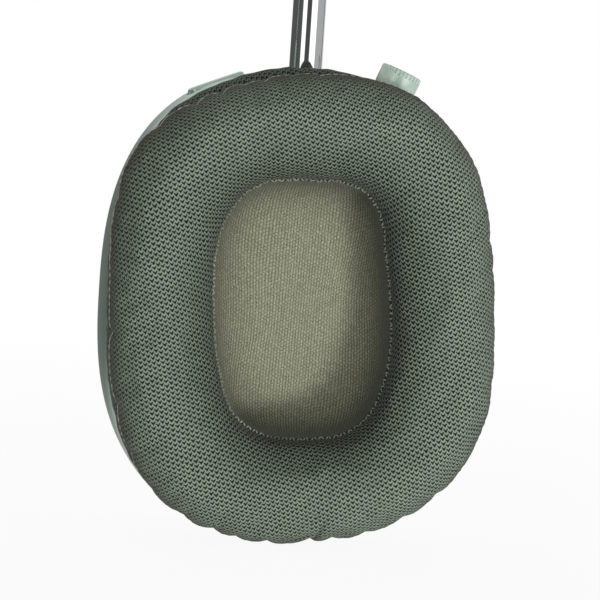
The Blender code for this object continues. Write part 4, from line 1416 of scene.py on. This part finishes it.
    def settle(self, made: bpy.types.Object, hold: Sequence[float], caps: Sequence[float]) -> None:
        """Lets the cover find its tension over the stuffing, held at its seams.

        The knit is cut a little large and blown out from inside, so that it puckers from the
        seams and gathers.

        Args:
            made: The cover.
            hold: The pin weight of each point.
            caps: How far each point may move.
        """
        group = made.vertex_groups.new(name="sewn")
        for i, weight in enumerate(hold):
            group.add([i], weight, "REPLACE")
        step = made.modifiers.new("settle", "CLOTH")
        values = {
            "quality": 4, "mass": 0.15, "tension_stiffness": 12.0, "compression_stiffness": 12.0,
            "shear_stiffness": 4.0, "bending_stiffness": 0.2, "use_pressure": True,
            "uniform_pressure_force": 4.0, "shrink_min": -self.ease_in,
            "vertex_group_mass": group.name, "pin_stiffness": 1.0,
        }
        for name, value in values.items():
            setattr(step.settings, name, value)
        step.settings.effector_weights.gravity = 0.0
        step.collision_settings.use_collision = False
        step.point_cache.frame_start, step.point_cache.frame_end = 1, self.frames
        for number in range(1, self.frames + 1):
            bpy.context.scene.frame_set(number)
        seen = made.evaluated_get(bpy.context.evaluated_depsgraph_get())
        furthest = 0.0
        for vert, target, cap in zip(made.data.vertices, seen.data.vertices, caps):
            move = target.co - vert.co
            furthest = max(furthest, move.length)
            if move.length > cap:
                move *= cap / move.length
            vert.co += move
        made.modifiers.clear()
        made.vertex_groups.clear()
        bpy.context.scene.frame_set(1)
        LOG.info("%s settled, furthest %.2f mm before the cap", made.name, furthest / MM)

    def lining(self) -> bpy.types.Object:
        """Makes the fine-knit dish in the cushion's opening.

        Returns:
            The lining.
        """
        edge = self.ring_width + 0.15 * MM
        floor, reach = self.lining_floor, edge + self.lining_reach
        pairs = shoulder((self.opening + 0.15 * MM, floor), (edge, reach), 20, 2.7)
        for share in (0.25, 0.5, 0.75):
            pairs.append((reach + 8.0 * share * MM, floor + 0.02 * share * MM))
        end = pairs[-1][0]
        sides = self.lining_sides
        turns = self.outline.inset(edge).even_turns(sides)
        length = reaches([Vector(pair) for pair in pairs], MM)
        rng = random.Random(self.seed + 1)
        tremble = [rng.uniform(-0.12, 0.12) for _ in range(sides)]

        def spot(k: int, i: int) -> Vector:
            """The lining's point at a pair, by its number round the opening."""
            inset, depth = pairs[k]
            point = self.outline.inset(inset).at(turns[i], depth)
            point = self.widened(point, 1 - (inset - edge) / (end - edge))
            point += self.slump * (1 - ease(k / 12)) * MM
            if k < 2:
                point.y += tremble[i] * MM
            sag = noise.noise(point * 60.0) * 0.25 * ease(k / 8)
            return point + Vector((0, sag * MM, 0))

        def chart(_: Panel, k: int, i: int) -> Vector:
            """The point's place on the flat cloth, in mm."""
            turn = turns[i % sides]
            inner = self.outline.inset(end).at(turn)
            outward = (self.outline.inset(edge).at(turn) - inner).normalized()
            spread = inner / MM + outward * (length[-1] - length[min(k, len(pairs) - 1)])
            return Vector((spread.x, spread.z, 0))

        skin = Skin(sides, [lambda i, k=k: spot(k, i) for k in range(len(pairs))])
        bmesh.ops.edgeloop_fill(skin.mesh, edges=skin.last)
        skin.map_cloth(lambda k: Panel.FRONT, chart)
        layer = skin.mesh.verts.layers.float.new(Cloth.EDGE.value)
        for vert in skin.mesh.verts:
            vert[layer] = length[vert[skin.ring]]
        bmesh.ops.recalc_face_normals(skin.mesh, faces=skin.mesh.faces)
        if sum(face.normal.y * face.calc_area() for face in skin.mesh.faces) > 0:
            bmesh.ops.reverse_faces(skin.mesh, faces=skin.mesh.faces)
        made = new_object(self.named("ear_lining"), self.in_cup(skin.mesh), 60.0)
        thicken(made, 0.6 * MM, -1.0)
        self.finishes.dress(made, self.named("cup"), "lining_knit", self.named("ear_mesh"))
        self.named("cushion_cover")
        self.named("baffle")
        return made

    def stitches(self) -> bpy.types.Object:
        """Makes the row of short stitches that holds the lining's edge to the cover.

        Returns:
            All the stitches as one piece.
        """
        rng = random.Random(self.seed + 2)
        seam = self.outline.inset(self.ring_width)
        shape = bmesh.new()
        for i, turn in enumerate(seam.even_turns(int(seam.length() / self.stitch_pitch))):
            lean = rng.uniform(0.4, 1.4) * (1 if i % 2 else -1)
            half = rng.uniform(0.3, 0.5) * MM
            radius = rng.uniform(0.12, 0.17) * MM
            middle = seam.at(turn + rng.uniform(-0.006, 0.006), self.opening - 0.5 * MM)
            middle = self.widened(middle, 1.0)
            outward = outwards(middle)
            middle += self.slump * MM - outward * 0.2 * MM
            along = Vector((-outward.z, 0, outward.x))
            across = (outward + along * lean).normalized()
            self.add_stitch(shape, middle, across, half, radius)
        bmesh.ops.recalc_face_normals(shape, faces=shape.faces)
        made = new_object(self.named("lining_stitches"), self.in_cup(shape), 60.0)
        return self.finishes.dress(
            made, self.named("cup"), "lining_knit", material=self.finishes.thread
        )

    @staticmethod
    def add_stitch(
        shape: bmesh.types.BMesh, middle: Vector, across: Vector, half: float, radius: float
    ) -> None:
        """Adds one arched stitch.

        Args:
            shape: The bmesh that takes it.
            middle: The stitch's middle, on the seam.
            across: Its direction.
            half: Half its length.
            radius: The thread's radius.
        """
        up, sides = Vector((0, -1, 0)), 5
        beside = across.cross(up).normalized()

        def ring(where: float, rise: float, swell: float) -> Place:
            """A ring's places: where along the half, how high in 1.6 radii, and how thick."""
            centre = middle + across * (half * where) + up * (radius * 1.6 * rise)

            def spot(i: int) -> Vector:
                """The place of one point."""
                angle, reach = 2 * math.pi * i / sides, radius * swell
                return centre - beside * reach * math.sin(angle) + up * reach * math.cos(angle)

            return spot

        arch = (
            (-1.0, -0.55, 0.5), (-0.75, 0.35, 1.0), (0.0, 0.8, 1.1), (0.75, 0.35, 1.0),
            (1.0, -0.55, 0.5),
        )
        skin = Skin(sides, [ring(*level) for level in arch], shape)
        for edges in (skin.first, skin.last):
            bmesh.ops.edgeloop_fill(shape, edges=edges)

    def plate(self) -> bpy.types.Object:
        """Makes the moulded plate that the cover is sewn to.

        Returns:
            The plate.
        """
        front, thickness = self.back + 0.3 * MM, 1.5 * MM
        outer, inner = 2.4 * MM, self.ring_width - 3.0 * MM
        rear = front + thickness
        corners = [(outer, front, 0.3 * MM), (outer, rear, 0.3 * MM)]
        corners += [(inner, rear, 0.2 * MM), (inner, front, 0.2 * MM)]
        turns = self.outline.even_turns(160)
        rings = [self.outline.ring(turns, pair) for pair in rounded(corners, 3)]
        shape = Skin(len(turns), rings).close(joined=True).mesh
        made = new_object(self.named("cushion_base"), self.in_cup(shape))
        return self.finishes.dress(
            made, self.named("cup"), "dark_plastic", self.named("cushion_plate")
        )


# ------------------------------------------------------------------ cup shell and controls


@dataclass
class CupShell(SidePart):
    """The drawn metal shell of a cup, with its slots and holes."""

    front: float = -10.0 * MM
    back: float = 19.0 * MM
    wall: float = 1.8 * MM
    side_end: float = 4.0 * MM
    face_inset: float = 22.0 * MM
    roundness: float = 2.4
    rim_inset: float = 1.35 * MM
    rim_depth: float = 8.0 * MM
    rim_steps: int = 12
    around: int = 200
    boss_radius: float = 1.6 * MM
    # How far the cutters go in and out of the wall, and how wide they break its edge
    reach: float = 6.0 * MM
    slot_flare: float = 0.35 * MM
    hole_flare: float = 0.15 * MM

    def profile(self) -> Pairs:
        """The shell's section, from the middle of the inside, round the rim, to the outer face.

        Returns:
            The (inset, depth) pairs.
        """
        depths, insets = (self.side_end, self.back), (0.0, self.face_inset)
        inside = shoulder(
            (depths[0], self.back - self.wall), (self.wall, insets[1]), 12, self.roundness
        )
        rim = [(self.wall, self.front + 0.25 * MM), (self.wall - 0.25 * MM, self.front)]
        for i in range(self.rim_steps + 1):
            angle = math.pi / 2 * i / self.rim_steps
            inset = self.rim_inset * (1 - math.sin(angle) ** 0.8)
            rim.append((inset, self.front + self.rim_depth * (1 - math.cos(angle))))
        return inside[::-1] + rim + shoulder(depths, insets, 22, self.roundness)

    def build(self) -> bpy.types.Object:
        """Makes the shell.

        Returns:
            The shell, with everything cut.
        """
        outline = self.cup.outline()
        turns = outline.even_turns(self.around)
        rings = [outline.ring(turns, pair) for pair in self.profile()]
        made = new_object(self.named("shell"), Skin(self.around, rings).close().mesh, 30.0)
        carve(made, self.bosses(), "UNION")
        carve(made, self.cutters())
        made.data.transform(Matrix.Translation(self.cup.origin(self.side)))
        return self.finishes.dress(made, self.named("cup"), "anodised_metal", self.named("housing"))

    def bosses(self) -> list[bpy.types.Object]:
        """The three studs that carry the circuit board.

        Returns:
            The studs.
        """
        made = []
        inner, radius = self.back - self.wall, self.boss_radius
        foot, top = inner - 2.6 * MM, inner + 0.9 * MM
        for x, z in ((0, -18.0), (10.54, 9.0), (-10.54, 9.0)):
            shape = lathe([(0, foot), (radius, foot), (radius, top), (0, top)], 24)
            moved(shape, Matrix.Rotation(-math.pi / 2, 4, "X"))
            made.append(new_object("boss", moved(shape, Matrix.Translation((x * MM, 0, z * MM)))))
        return made

    def cutters(self) -> list[bpy.types.Object]:
        """The shapes of the stem's slot, the microphone's slot and the controls' openings.

        Returns:
            The cutters.
        """
        tools = [self.slot(0.0, False, 11.8, 8.4, turned=True), self.slot(-17.0, True, 6.6, 2.2)]
        if self.side is Side.RIGHT:
            tools += [self.slot(-19.5, False, 13.8, 5.2), self.slot(0.0, True, 9.4, 3.4)]
            tools += [self.hole(19.5, False, 3.7), self.hole(10.0, True, 1.0)]
        return tools

    def slot(
        self, x: float, below: bool, length: float, width: float, turned: bool = False
    ) -> bpy.types.Object:
        """A cutter with round ends and a flare that breaks the opening's edge.

        Args:
            x: The spot across the cup, in mm.
            below: True at the foot of the cup.
            length: The opening's length, in mm.
            width: Its width, in mm.
            turned: True to lay the opening along y.

        Returns:
            The cutter.
        """
        size = (length * MM, width * MM)
        wide = (size[0] + self.slot_flare, size[1] + self.slot_flare)
        near = 0.12 * MM
        levels = [(*size, -self.reach), (*size, -near), (*wide, near), (*wide, self.reach)]
        shape = pill_skin(levels, 40)
        if turned:
            moved(shape, Matrix.Rotation(math.pi / 2, 4, "Z"))
        return new_object("slot", moved(shape, self.cup.wall_frame(x * MM, below)))

    def hole(self, x: float, below: bool, size: float) -> bpy.types.Object:
        """A round cutter with a flare that breaks the opening's edge.

        Args:
            x: The spot across the cup, in mm.
            below: True at the foot of the cup.
            size: The opening's radius, in mm.

        Returns:
            The cutter.
        """
        radius, near = size * MM, 0.1 * MM
        wide = radius + self.hole_flare
        profile = [
            (0, -self.reach), (radius, -self.reach), (radius, -near), (wide, near),
            (wide, self.reach), (0, self.reach),
        ]
        return new_object("hole", moved(lathe(profile, 48), self.cup.wall_frame(x * MM, below)))


@dataclass
class Controls:
    """The fluted crown and the long button on the right cup."""

    cup: CupSizes
    finishes: Finishes
    crown_x: float = 19.5 * MM
    crown_radius: float = 4.6 * MM
    crown_height: float = 4.3 * MM
    crown_edge: float = 0.45 * MM
    standoff: float = 0.8 * MM
    socket: float = 1.6 * MM
    flutes: int = 32
    flute_depth: float = 0.3 * MM
    flute_length: float = 1.35 * MM
    points_per_flute: int = 12
    button_x: float = -19.5 * MM
    button_length: float = 12.8 * MM
    button_width: float = 4.2 * MM
    button_proud: float = 0.35 * MM
    button_seat: float = -3.4 * MM

    def frame_at(self, x: float) -> Matrix:
        """The frame of a control on the top of the right cup."""
        return Matrix.Translation(self.cup.origin(Side.RIGHT)) @ self.cup.wall_frame(x)

    def flute(self, i: int, height: float) -> float:
        """How deep the crown is cut at a point.

        Args:
            i: The point's number round the crown.
            height: Its height above the crown's foot.

        Returns:
            The depth.
        """
        pitch = 2 * math.pi * self.crown_radius / self.flutes
        off = abs((i % self.points_per_flute) / self.points_per_flute - 0.5) * pitch
        up = height - (self.crown_height - self.flute_length)
        if up <= 0:
            return 0.0
        half = 0.33 * pitch
        if up < half:
            half *= math.sqrt(1 - (1 - up / half) ** 2)
        fade = 1 - ease((height - self.crown_height + 0.35 * MM) / (0.35 * MM))
        if off >= half:
            return 0.0
        return self.flute_depth * math.sqrt(1 - (off / half) ** 2) * fade

    def crown(self) -> bpy.types.Object:
        """Makes the crown's cap.

        Returns:
            The cap.
        """
        sides = self.flutes * self.points_per_flute
        radius, top, edge = self.crown_radius, self.crown_height, self.crown_edge
        start = top - self.flute_length
        levels = [
            (self.socket, top / 3 + 0.3 * MM), (self.socket, 0.1 * MM),
            (self.socket + 0.1 * MM, 0.0), (radius - 0.4 * MM, 0.0),
            (radius - 0.1 * MM, 0.12 * MM), (radius, 0.35 * MM),
            (radius, start - 0.4 * MM), (radius, start),
        ]
        levels += [(radius, start + 0.04 * i * MM) for i in range(1, 8)]
        low, high = start + 0.28 * MM, top - 0.5 * MM
        levels += [(radius, blend(low, high, i / 4)) for i in range(1, 5)]
        for i in range(1, 8):
            angle = math.pi / 2 * i / 7
            out, up = edge * (1 - math.cos(angle)), edge * math.sin(angle)
            levels.append((radius - out, top - edge + up))
        levels += [(radius * s, top + 0.06 * MM * (1 - s)) for s in (0.82, 0.6, 0.3)]

        def spot(level: tuple[float, float], i: int) -> Vector:
            """The cap's point at a (radius, height) level, cut where there is a flute."""
            cut = self.flute(i, level[1]) if level[0] > radius * 0.85 else 0.0
            angle, reach = 2 * math.pi * i / sides, level[0] - cut
            return Vector((reach * math.cos(angle), reach * math.sin(angle), level[1]))

        rings = [lambda i, level=level: spot(level, i) for level in levels]
        shape = Skin(sides, rings).close().mesh
        moved(shape, self.frame_at(self.crown_x) @ Matrix.Translation((0, 0, self.standoff)))
        # The crown wears the paler copy of the anodised finish, whose colour is painted light
        return self.finishes.dress(
            new_object("crown_knob", shape, 40.0), "crown", "anodised_metal", "crown_cap",
            material=self.finishes.painted_lit_anodised,
        )

    def button(self) -> bpy.types.Object:
        """Makes the long button with its flange and pusher.

        Returns:
            The button.
        """
        length, width, proud = self.button_length, self.button_width, self.button_proud
        seat, lap = self.button_seat, 1.8 * MM
        flange = seat - 1.0 * MM
        levels = [(length + lap, width + lap, flange), (length + lap, width + lap, seat)]
        levels += [(length, width, seat), (length, width, proud - 0.55 * MM)]
        for i in range(1, 7):
            angle = math.pi / 2 * i / 6
            less = 1.6 * MM * (1 - math.cos(angle))
            levels.append((length - less, width - less, proud - 0.5 * MM * (1 - math.sin(angle))))
        levels.append((length - 4.0 * MM, width - 3.2 * MM, proud + 0.06 * MM))
        button = new_object("mode_key", pill_skin(levels, 64))
        radius, end = width / 4, flange - 1.4 * MM
        pusher = lathe([(0, end), (radius, end), (radius, seat), (0, seat)], 24)
        carve(button, [new_object("pusher", pusher)], "UNION")
        button.data.transform(self.frame_at(self.button_x))
        return self.finishes.dress(button, "mode_button", "anodised_metal", "mode_button")


# ------------------------------------------------------------------ stem and headband


@dataclass
class Stem(SidePart):
    """The polished stem with its turned foot, and the collar at the end of the arm."""

    radius: float = 3.6 * MM
    journal: float = 2.9 * MM
    groove: float = 2.2 * MM
    neck: float = 95.1 * MM
    clip_gap: float = 0.3 * MM
    collar_bore: float = 3.9 * MM
    collar_radius: float = 5.2 * MM

    def turned(
        self, word: str, corners: Sequence[tuple[float, float, float]], closed: bool = False
    ) -> bpy.types.Object:
        """A turned piece on the stem's axis.

        Args:
            word: Its name on this side.
            corners: (radius, height, rounding) of each corner of its section.
            closed: True for a ring's section.

        Returns:
            The piece.
        """
        shape = lathe(rounded(corners), closed=closed)
        return new_object(self.named(word), moved(shape, self.cup.arm_axis(self.side)))

    def build(self) -> bpy.types.Object:
        """Makes the stem.

        Returns:
            The stem.
        """
        low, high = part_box(self.named("stem"))
        clip_low, clip_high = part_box(self.named("stem_clip"))
        above, below = clip_high.z + self.clip_gap, clip_low.z - self.clip_gap
        corners = [
            (0.0, high.z, 0.0), (self.radius, high.z, 0.5 * MM),
            (self.radius, self.neck, 0.3 * MM), (self.journal, self.neck, 0.0),
            (self.journal, above, 0.0), (self.groove, above, 0.0),
            (self.groove, below, 0.0), (self.journal, below, 0.0),
            (self.journal, low.z, 0.4 * MM), (0.0, low.z, 0.0),
        ]
        made = self.turned("polished_stem", corners)
        return self.finishes.dress(made, self.named("stem"), "polished_steel", self.named("stem"))

    def collar(self) -> bpy.types.Object:
        """Makes the metal collar at the end of the arm.

        Returns:
            The collar.
        """
        low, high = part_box(self.named("arm_collar"))
        outer, bore = self.collar_radius, self.collar_bore
        corners = [(outer, high.z, 0.12 * MM), (outer, low.z, 0.75 * MM)]
        corners += [(bore, low.z, 0.25 * MM), (bore, high.z, 0.1 * MM)]
        made = self.turned("collar", corners, closed=True)
        return self.finishes.dress(made, "headband", "anodised_metal", self.named("arm_collar"))


@dataclass
class Headband:
    """The frame of two arms and two rails, and the knit canopy stretched between them."""

    cup: CupSizes
    finishes: Finishes
    arm_radius: float = 5.2 * MM
    bore: float = 4.7 * MM
    arm_bottom: float = 125.3 * MM
    bore_top: float = 163.5 * MM
    head_length: float = 9.0 * MM
    rise: float = 38.6 * MM
    squareness: float = 2.3
    rail: float = 3.1 * MM
    rail_start: float = 0.7 * MM
    rail_spread: float = 15.8 * MM
    rail_steps: int = 150
    rail_sides: int = 28
    first_angle: float = 0.03
    overmould_cell: float = 0.5 * MM
    overmould_passes: int = 10
    canopy_start: float = 0.39
    canopy_thickness: float = 1.3 * MM
    sag: float = 4.5 * MM

    def arch(self, angle: float, y: float = 0.0) -> Vector:
        """A point on the band's middle line; 0 is at the right arm and pi at the left."""
        x = self.cup.spacing / 2 * power(math.cos(angle), 2 / self.squareness)
        z = self.bore_top + self.rise * abs(math.sin(angle)) ** (2 / self.squareness)
        return Vector((x, self.cup.depth + y, z))

    def offset(self, angle: float) -> float:
        """How far each rail stands from the middle of the band."""
        return self.rail_start + (self.rail_spread - self.rail_start) * math.sin(angle) ** 1.4

    def thickness(self, angle: float) -> float:
        """A rail's radius: thick where it leaves the arm, and slim over the head."""
        thick = self.arm_radius * 0.8
        return self.rail + (thick - self.rail) * (1 - math.sin(angle)) ** 3

    def half_width(self, angle: float) -> float:
        """Half the canopy's width: its edge is held in the inner side of each rail."""
        return max(0.4 * MM, self.offset(angle) - self.thickness(angle) * 0.86)

    def rail_tube(self, sign: int) -> bpy.types.Object:
        """One rail as a tapering tube from arm to arm.

        Args:
            sign: Which rail: 1 behind the middle of the band, -1 in front of it.

        Returns:
            The tube.
        """
        steps, sides = self.rail_steps, self.rail_sides
        first, last = self.first_angle, math.pi - self.first_angle
        angles = [blend(first, last, i / steps) for i in range(steps + 1)]
        line = [self.arch(angle, sign * self.offset(angle)) for angle in angles]

        def ring(k: int) -> Place:
            """The places of a ring's points, square to the rail."""
            along = (line[min(k + 1, steps)] - line[max(k - 1, 0)]).normalized()
            beside = (Vector((0, 1, 0)) - along * along.y).normalized()
            above = along.cross(beside)
            radius = self.thickness(angles[k])

            def spot(i: int) -> Vector:
                """The place of one point."""
                turn = 2 * math.pi * i / sides
                return line[k] + beside * radius * math.cos(turn) + above * radius * math.sin(turn)

            return spot

        skin = Skin(sides, [ring(k) for k in range(steps + 1)])
        return new_object("rail", skin.close().mesh)

    def head(self, side: Side) -> bpy.types.Object:
        """The rounded head of an arm, where the rails leave it.

        Args:
            side: Which arm.

        Returns:
            The head.
        """
        radius, low, length = self.arm_radius, self.bore_top, self.head_length
        profile = [(0.0, low + 0.15 * MM), (radius, low + 0.15 * MM)]
        for narrowing, share in ((0.985, 0.25), (0.93, 0.5), (0.82, 0.72)):
            profile.append((radius * narrowing, low + length * share))
        profile += [(radius * 0.55, low + length - 0.8 * MM), (0.0, low + length)]
        return new_object("head", moved(lathe(profile, 48), self.cup.arm_axis(side)))

    def rails(self) -> bpy.types.Object:
        """Makes the two rails and the arms' heads as one moulded form.

        Returns:
            The rails.
        """
        made, *parts = [self.rail_tube(sign) for sign in (1, -1)]
        parts += [self.head(side) for side in Side]
        made.name = "headband_rails"
        carve(made, parts, "UNION")
        skin = made.modifiers.new("overmould", "REMESH")
        skin.mode = "VOXEL"
        skin.voxel_size = self.overmould_cell
        bake(made, 60.0)
        shape = bmesh.new()
        shape.from_mesh(made.data)
        upper = [vert for vert in shape.verts if vert.co.z > self.bore_top + 0.9 * MM]
        for _ in range(self.overmould_passes):
            bmesh.ops.smooth_vert(
                shape, verts=upper, factor=0.5, use_axis_x=True, use_axis_y=True, use_axis_z=True
            )
        shape.to_mesh(made.data)
        shape.free()
        made.data.shade_smooth()
        return self.finishes.dress(made, "headband", "soft_touch", "headband_frame")

    def arm(self, side: Side) -> bpy.types.Object:
        """Makes one hollow arm.

        Args:
            side: Which arm.

        Returns:
            The arm.
        """
        inner_end = self.bore_top - 0.2 * MM
        corners = [
            (0.0, self.bore_top, 0.0), (self.arm_radius, self.bore_top, 0.1 * MM),
            (self.arm_radius, self.arm_bottom, 0.25 * MM), (self.bore, self.arm_bottom, 0.1 * MM),
            (self.bore, inner_end, 0.0), (0.0, inner_end, 0.0),
        ]
        shape = moved(lathe(rounded(corners)), self.cup.arm_axis(side))
        made = new_object(f"{side.label}_arm_tube", shape)
        return self.finishes.dress(made, "headband", "soft_touch")

    def canopy(self, columns: int = 150, rows: int = 28, fine: int = 400) -> bpy.types.Object:
        """Makes the knit canopy.

        Args:
            columns: How many faces it has along the band.
            rows: How many faces it has across the band.
            fine: How many steps the band is measured in.

        Returns:
            The canopy.
        """
        shape = bmesh.new()
        bmesh.ops.create_grid(shape, x_segments=columns, y_segments=rows, size=1.0)
        layer = shape.loops.layers.uv.new(Cloth.MAP.value)
        start, end = self.canopy_start, math.pi - self.canopy_start
        arc = reaches([self.arch(blend(start, end, i / fine)) for i in range(fine + 1)], MM)
        widest = self.offset(math.pi / 2) / MM
        for face in shape.faces:
            for loop in face.loops:
                share = (loop.vert.co.x + 1) / 2
                half = self.half_width(blend(start, end, share)) / MM
                across = loop.vert.co.y * min(half, widest) * 1.03
                loop[layer].uv = (across, arc[round(share * fine)])
        for vert in shape.verts:
            angle = blend(start, end, (vert.co.x + 1) / 2)
            across = vert.co.y
            along = (self.arch(angle + 0.01) - self.arch(angle - 0.01)).normalized()
            out = Vector((along.z, 0, -along.x))
            sag = self.sag * (1 - across**2) * math.sin(angle)
            roll = 0.8 * MM * ease((abs(across) - 0.86) / 0.14)
            vert.co = self.arch(angle, across * self.half_width(angle)) + out * (roll - sag)
        bmesh.ops.recalc_face_normals(shape, faces=shape.faces)
        made = new_object("canopy_mesh", shape, 60.0)
        thicken(made, self.canopy_thickness, 0.0)
        self.finishes.dress(made, "headband", "canopy_knit", "canopy")
        return made


# ------------------------------------------------------------------ studio


def direction(azimuth: float, elevation: float) -> Vector:
    """The direction from the object to a camera or lamp at these angles, in degrees."""
    az, el = math.radians(azimuth), math.radians(elevation)
    return Vector((math.sin(az) * math.cos(el), -math.cos(az) * math.cos(el), math.sin(el)))


@dataclass
class Studio:
    """Floor, light and camera, set up as for a catalogue picture."""

    cup: CupSizes
    azimuth: float = -8.69
    elevation: float = 5.12
    roll: float = 3.745
    distance: float = 600.0 * MM
    lens: float = 171.06
    sensor: float = 36.0
    aim: tuple[float, float, float] = (-1.71 * MM, -25.0 * MM, 2.95 * MM)
    # What metal reflects, by the share of a turn about z: softboxes with dark gaps between them
    strips: Pairs = (
        (0.0, 0.1), (0.05, 0.07), (0.1, 0.06), (0.34, 0.06), (0.352, 0.08), (0.366, 1.0),
        (0.43, 1.0), (0.442, 0.05), (0.522, 0.05), (0.534, 1.0), (0.635, 1.0), (0.65, 0.3),
        (0.83, 0.28), (0.84, 0.06), (0.855, 0.06), (0.87, 0.45), (1.0, 0.35),
    )

    @staticmethod
    def stand(data: bpy.types.ID, back: Vector, distance: float, target: Vector) -> bpy.types.Object:
        """Stands a camera or lamp, facing a target.

        Args:
            data: The camera's or lamp's data.
            back: The direction from the target to it.
            distance: How far away it is.
            target: The target.

        Returns:
            Its object.
        """
        made = in_scene(bpy.data.objects.new(data.name, data))
        made.location = target + back * distance
        made.rotation_mode = "QUATERNION"
        made.rotation_quaternion = (-back).to_track_quat("-Z", "Y")
        return made

    def camera(self) -> None:
        """Makes the camera at the photograph's viewing angle."""
        data = bpy.data.cameras.new("product_camera")
        data.lens, data.sensor_width = self.lens, self.sensor
        data.clip_start, data.clip_end = 0.02, 30.0
        target = self.cup.origin(Side.RIGHT) + Vector(self.aim)
        back = direction(self.azimuth, self.elevation)
        made = self.stand(data, back, self.distance, target)
        turn = made.rotation_quaternion.to_matrix().to_4x4()
        tilt = Matrix.Rotation(math.radians(self.roll), 4, "Z")
        made.rotation_quaternion = (turn @ tilt).to_quaternion()
        bpy.context.scene.camera = made

    def lamp(
        self, name: str, size: float, watts: float, azimuth: float, elevation: float,
        distance: float,
    ) -> None:
        """Adds a soft square lamp that faces the middle of the headset.

        Args:
            name: The lamp's name.
            size: Its side.
            watts: Its power.
            azimuth: Where it stands, in degrees, as for a camera.
            elevation: How high it stands, in degrees.
            distance: How far away it is.
        """
        data = bpy.data.lights.new(name, "AREA")
        data.size, data.energy = size, watts
        back = direction(azimuth, elevation)
        self.stand(data, back, distance, Vector((0, 0, 0.1))).visible_glossy = False

    def world(self) -> None:
        """Makes the white surround, with the strips of light that metal reflects."""
        world = bpy.data.worlds.new("white_studio")
        bpy.context.scene.world = world
        world.use_nodes = True
        world.node_tree.nodes.clear()
        sky = Sketch(world.node_tree)
        split = sky.add("SeparateXYZ", (sky.add("TexCoord"), "Generated"))
        ahead = sky.add("Math MULTIPLY", (split, "Y"), -1.0)
        turn = sky.add("Math ARCTAN2", (split, "X"), ahead)
        share = sky.add("MapRange", turn, -math.pi, math.pi)
        strips = sky.add("ValToRGB", share, stops=self.strips)
        overhead = sky.add("MapRange SMOOTHSTEP", (split, "Z"), 0.08, 0.3)
        lit = sky.add("Mix RGBA", {0: overhead, 6: strips, 7: (0.5, 0.5, 0.5, 1.0)})
        below = sky.add("MapRange SMOOTHSTEP", (split, "Z"), -0.15, -0.4)
        based = sky.add("Mix RGBA", {0: below, 6: (lit, 2), 7: (0.45, 0.45, 0.45, 1.0)})
        path, full = sky.add("LightPath"), (1.0, 1.0, 1.0, 1.0)
        mirror = sky.add("Background", (based, 2), 1.7)
        soft = sky.add("Background", full, 0.27)
        white = sky.add("Background", full, 1.0)
        glossy = sky.add("MixShader", (path, "Is Glossy Ray"), soft, mirror)
        rays = ((path, "Is Camera Ray"), (path, "Is Transmission Ray"))
        seen = sky.add("Math MAXIMUM", *rays)
        sky.add("OutputWorld", sky.add("MixShader", seen, glossy, white))

    def floor(self) -> None:
        """Makes the plain pale floor, which keeps a soft shadow and fades into the white."""
        shape = bmesh.new()
        bmesh.ops.create_circle(shape, cap_ends=True, segments=96, radius=1.0)
        made = new_object("studio_floor", shape)
        made.visible_shadow = made.visible_glossy = False
        r = Recipe("matt_white_floor")
        spot = (r.add("TexCoord"), "Object")
        speck = r.add("TexNoise", Vector=spot, Scale=40.0)
        colour = r.add("ValToRGB", speck, stops=((0.3, "f4f4f3"), (0.7, "fafaf9")))
        r.finish(Base_Color=colour, Roughness=0.9, Specular_IOR_Level=0.1)
        glow = r.add("Emission", (1.0, 1.0, 1.0, 1.0), 1.0)
        camera_ray = (r.add("LightPath"), "Is Camera Ray")
        seen = r.add("Math MULTIPLY_ADD", camera_ray, 0.75, 0.25)
        reach = (r.add("VectorMath LENGTH", spot), "Value")
        fade = r.add("MapRange SMOOTHSTEP", reach, 0.1, 0.45, 0.93, 1.0)
        share = r.add("Math MULTIPLY", seen, fade)
        mixed = r.add("MixShader", share, r.shader, glow)
        r.feed(r.tree.nodes["Material Output"], mixed)
        made.data.materials.append(r.material)

    def build(self) -> None:
        """Sets the whole studio up."""
        self.world()
        self.floor()
        self.lamp("key_lamp", 0.22, 5.9, 33.0, -24.0, 1.2)
        self.lamp("fill_lamp", 0.6, 3.8, 0.0, 6.0, 1.4)
        self.lamp("rear_lamp", 0.9, 4.5, 175.0, 55.0, 1.2)
        self.camera()
        bpy.context.scene.view_settings.view_transform = "Standard"


def main() -> None:
    """Builds the headset's looks piece by piece."""
    logging.basicConfig(level=logging.INFO, format="%(name)s: %(message)s")
    cup = CupSizes()
    finishes = Finishes()
    finishes.dress_nodes()
    tables = (RIGHT_SWELL, RIGHT_BULGE, RIGHT_OPENING)
    for side, gathers, (swell, bulge, widening) in (
        (Side.RIGHT, RIGHT_GATHERS, tables),
        (Side.LEFT, (), [mirrored(table, 0.6) for table in tables]),
    ):
        cushion = EarCushion(
            side, cup, finishes, gathers=gathers, swell=swell, bulge=bulge, widening=widening
        )
        stem = Stem(side, cup, finishes)
        cushion.build()
        cushion.lining()
        cushion.stitches()
        cushion.plate()
        CupShell(side, cup, finishes).build()
        stem.build()
        stem.collar()
    controls = Controls(cup, finishes)
    controls.crown()
    controls.button()
    band = Headband(cup, finishes)
    band.rails()
    for side in Side:
        band.arm(side)
    band.canopy()
    Studio(cup).build()


if __name__ == "__main__":
    main()
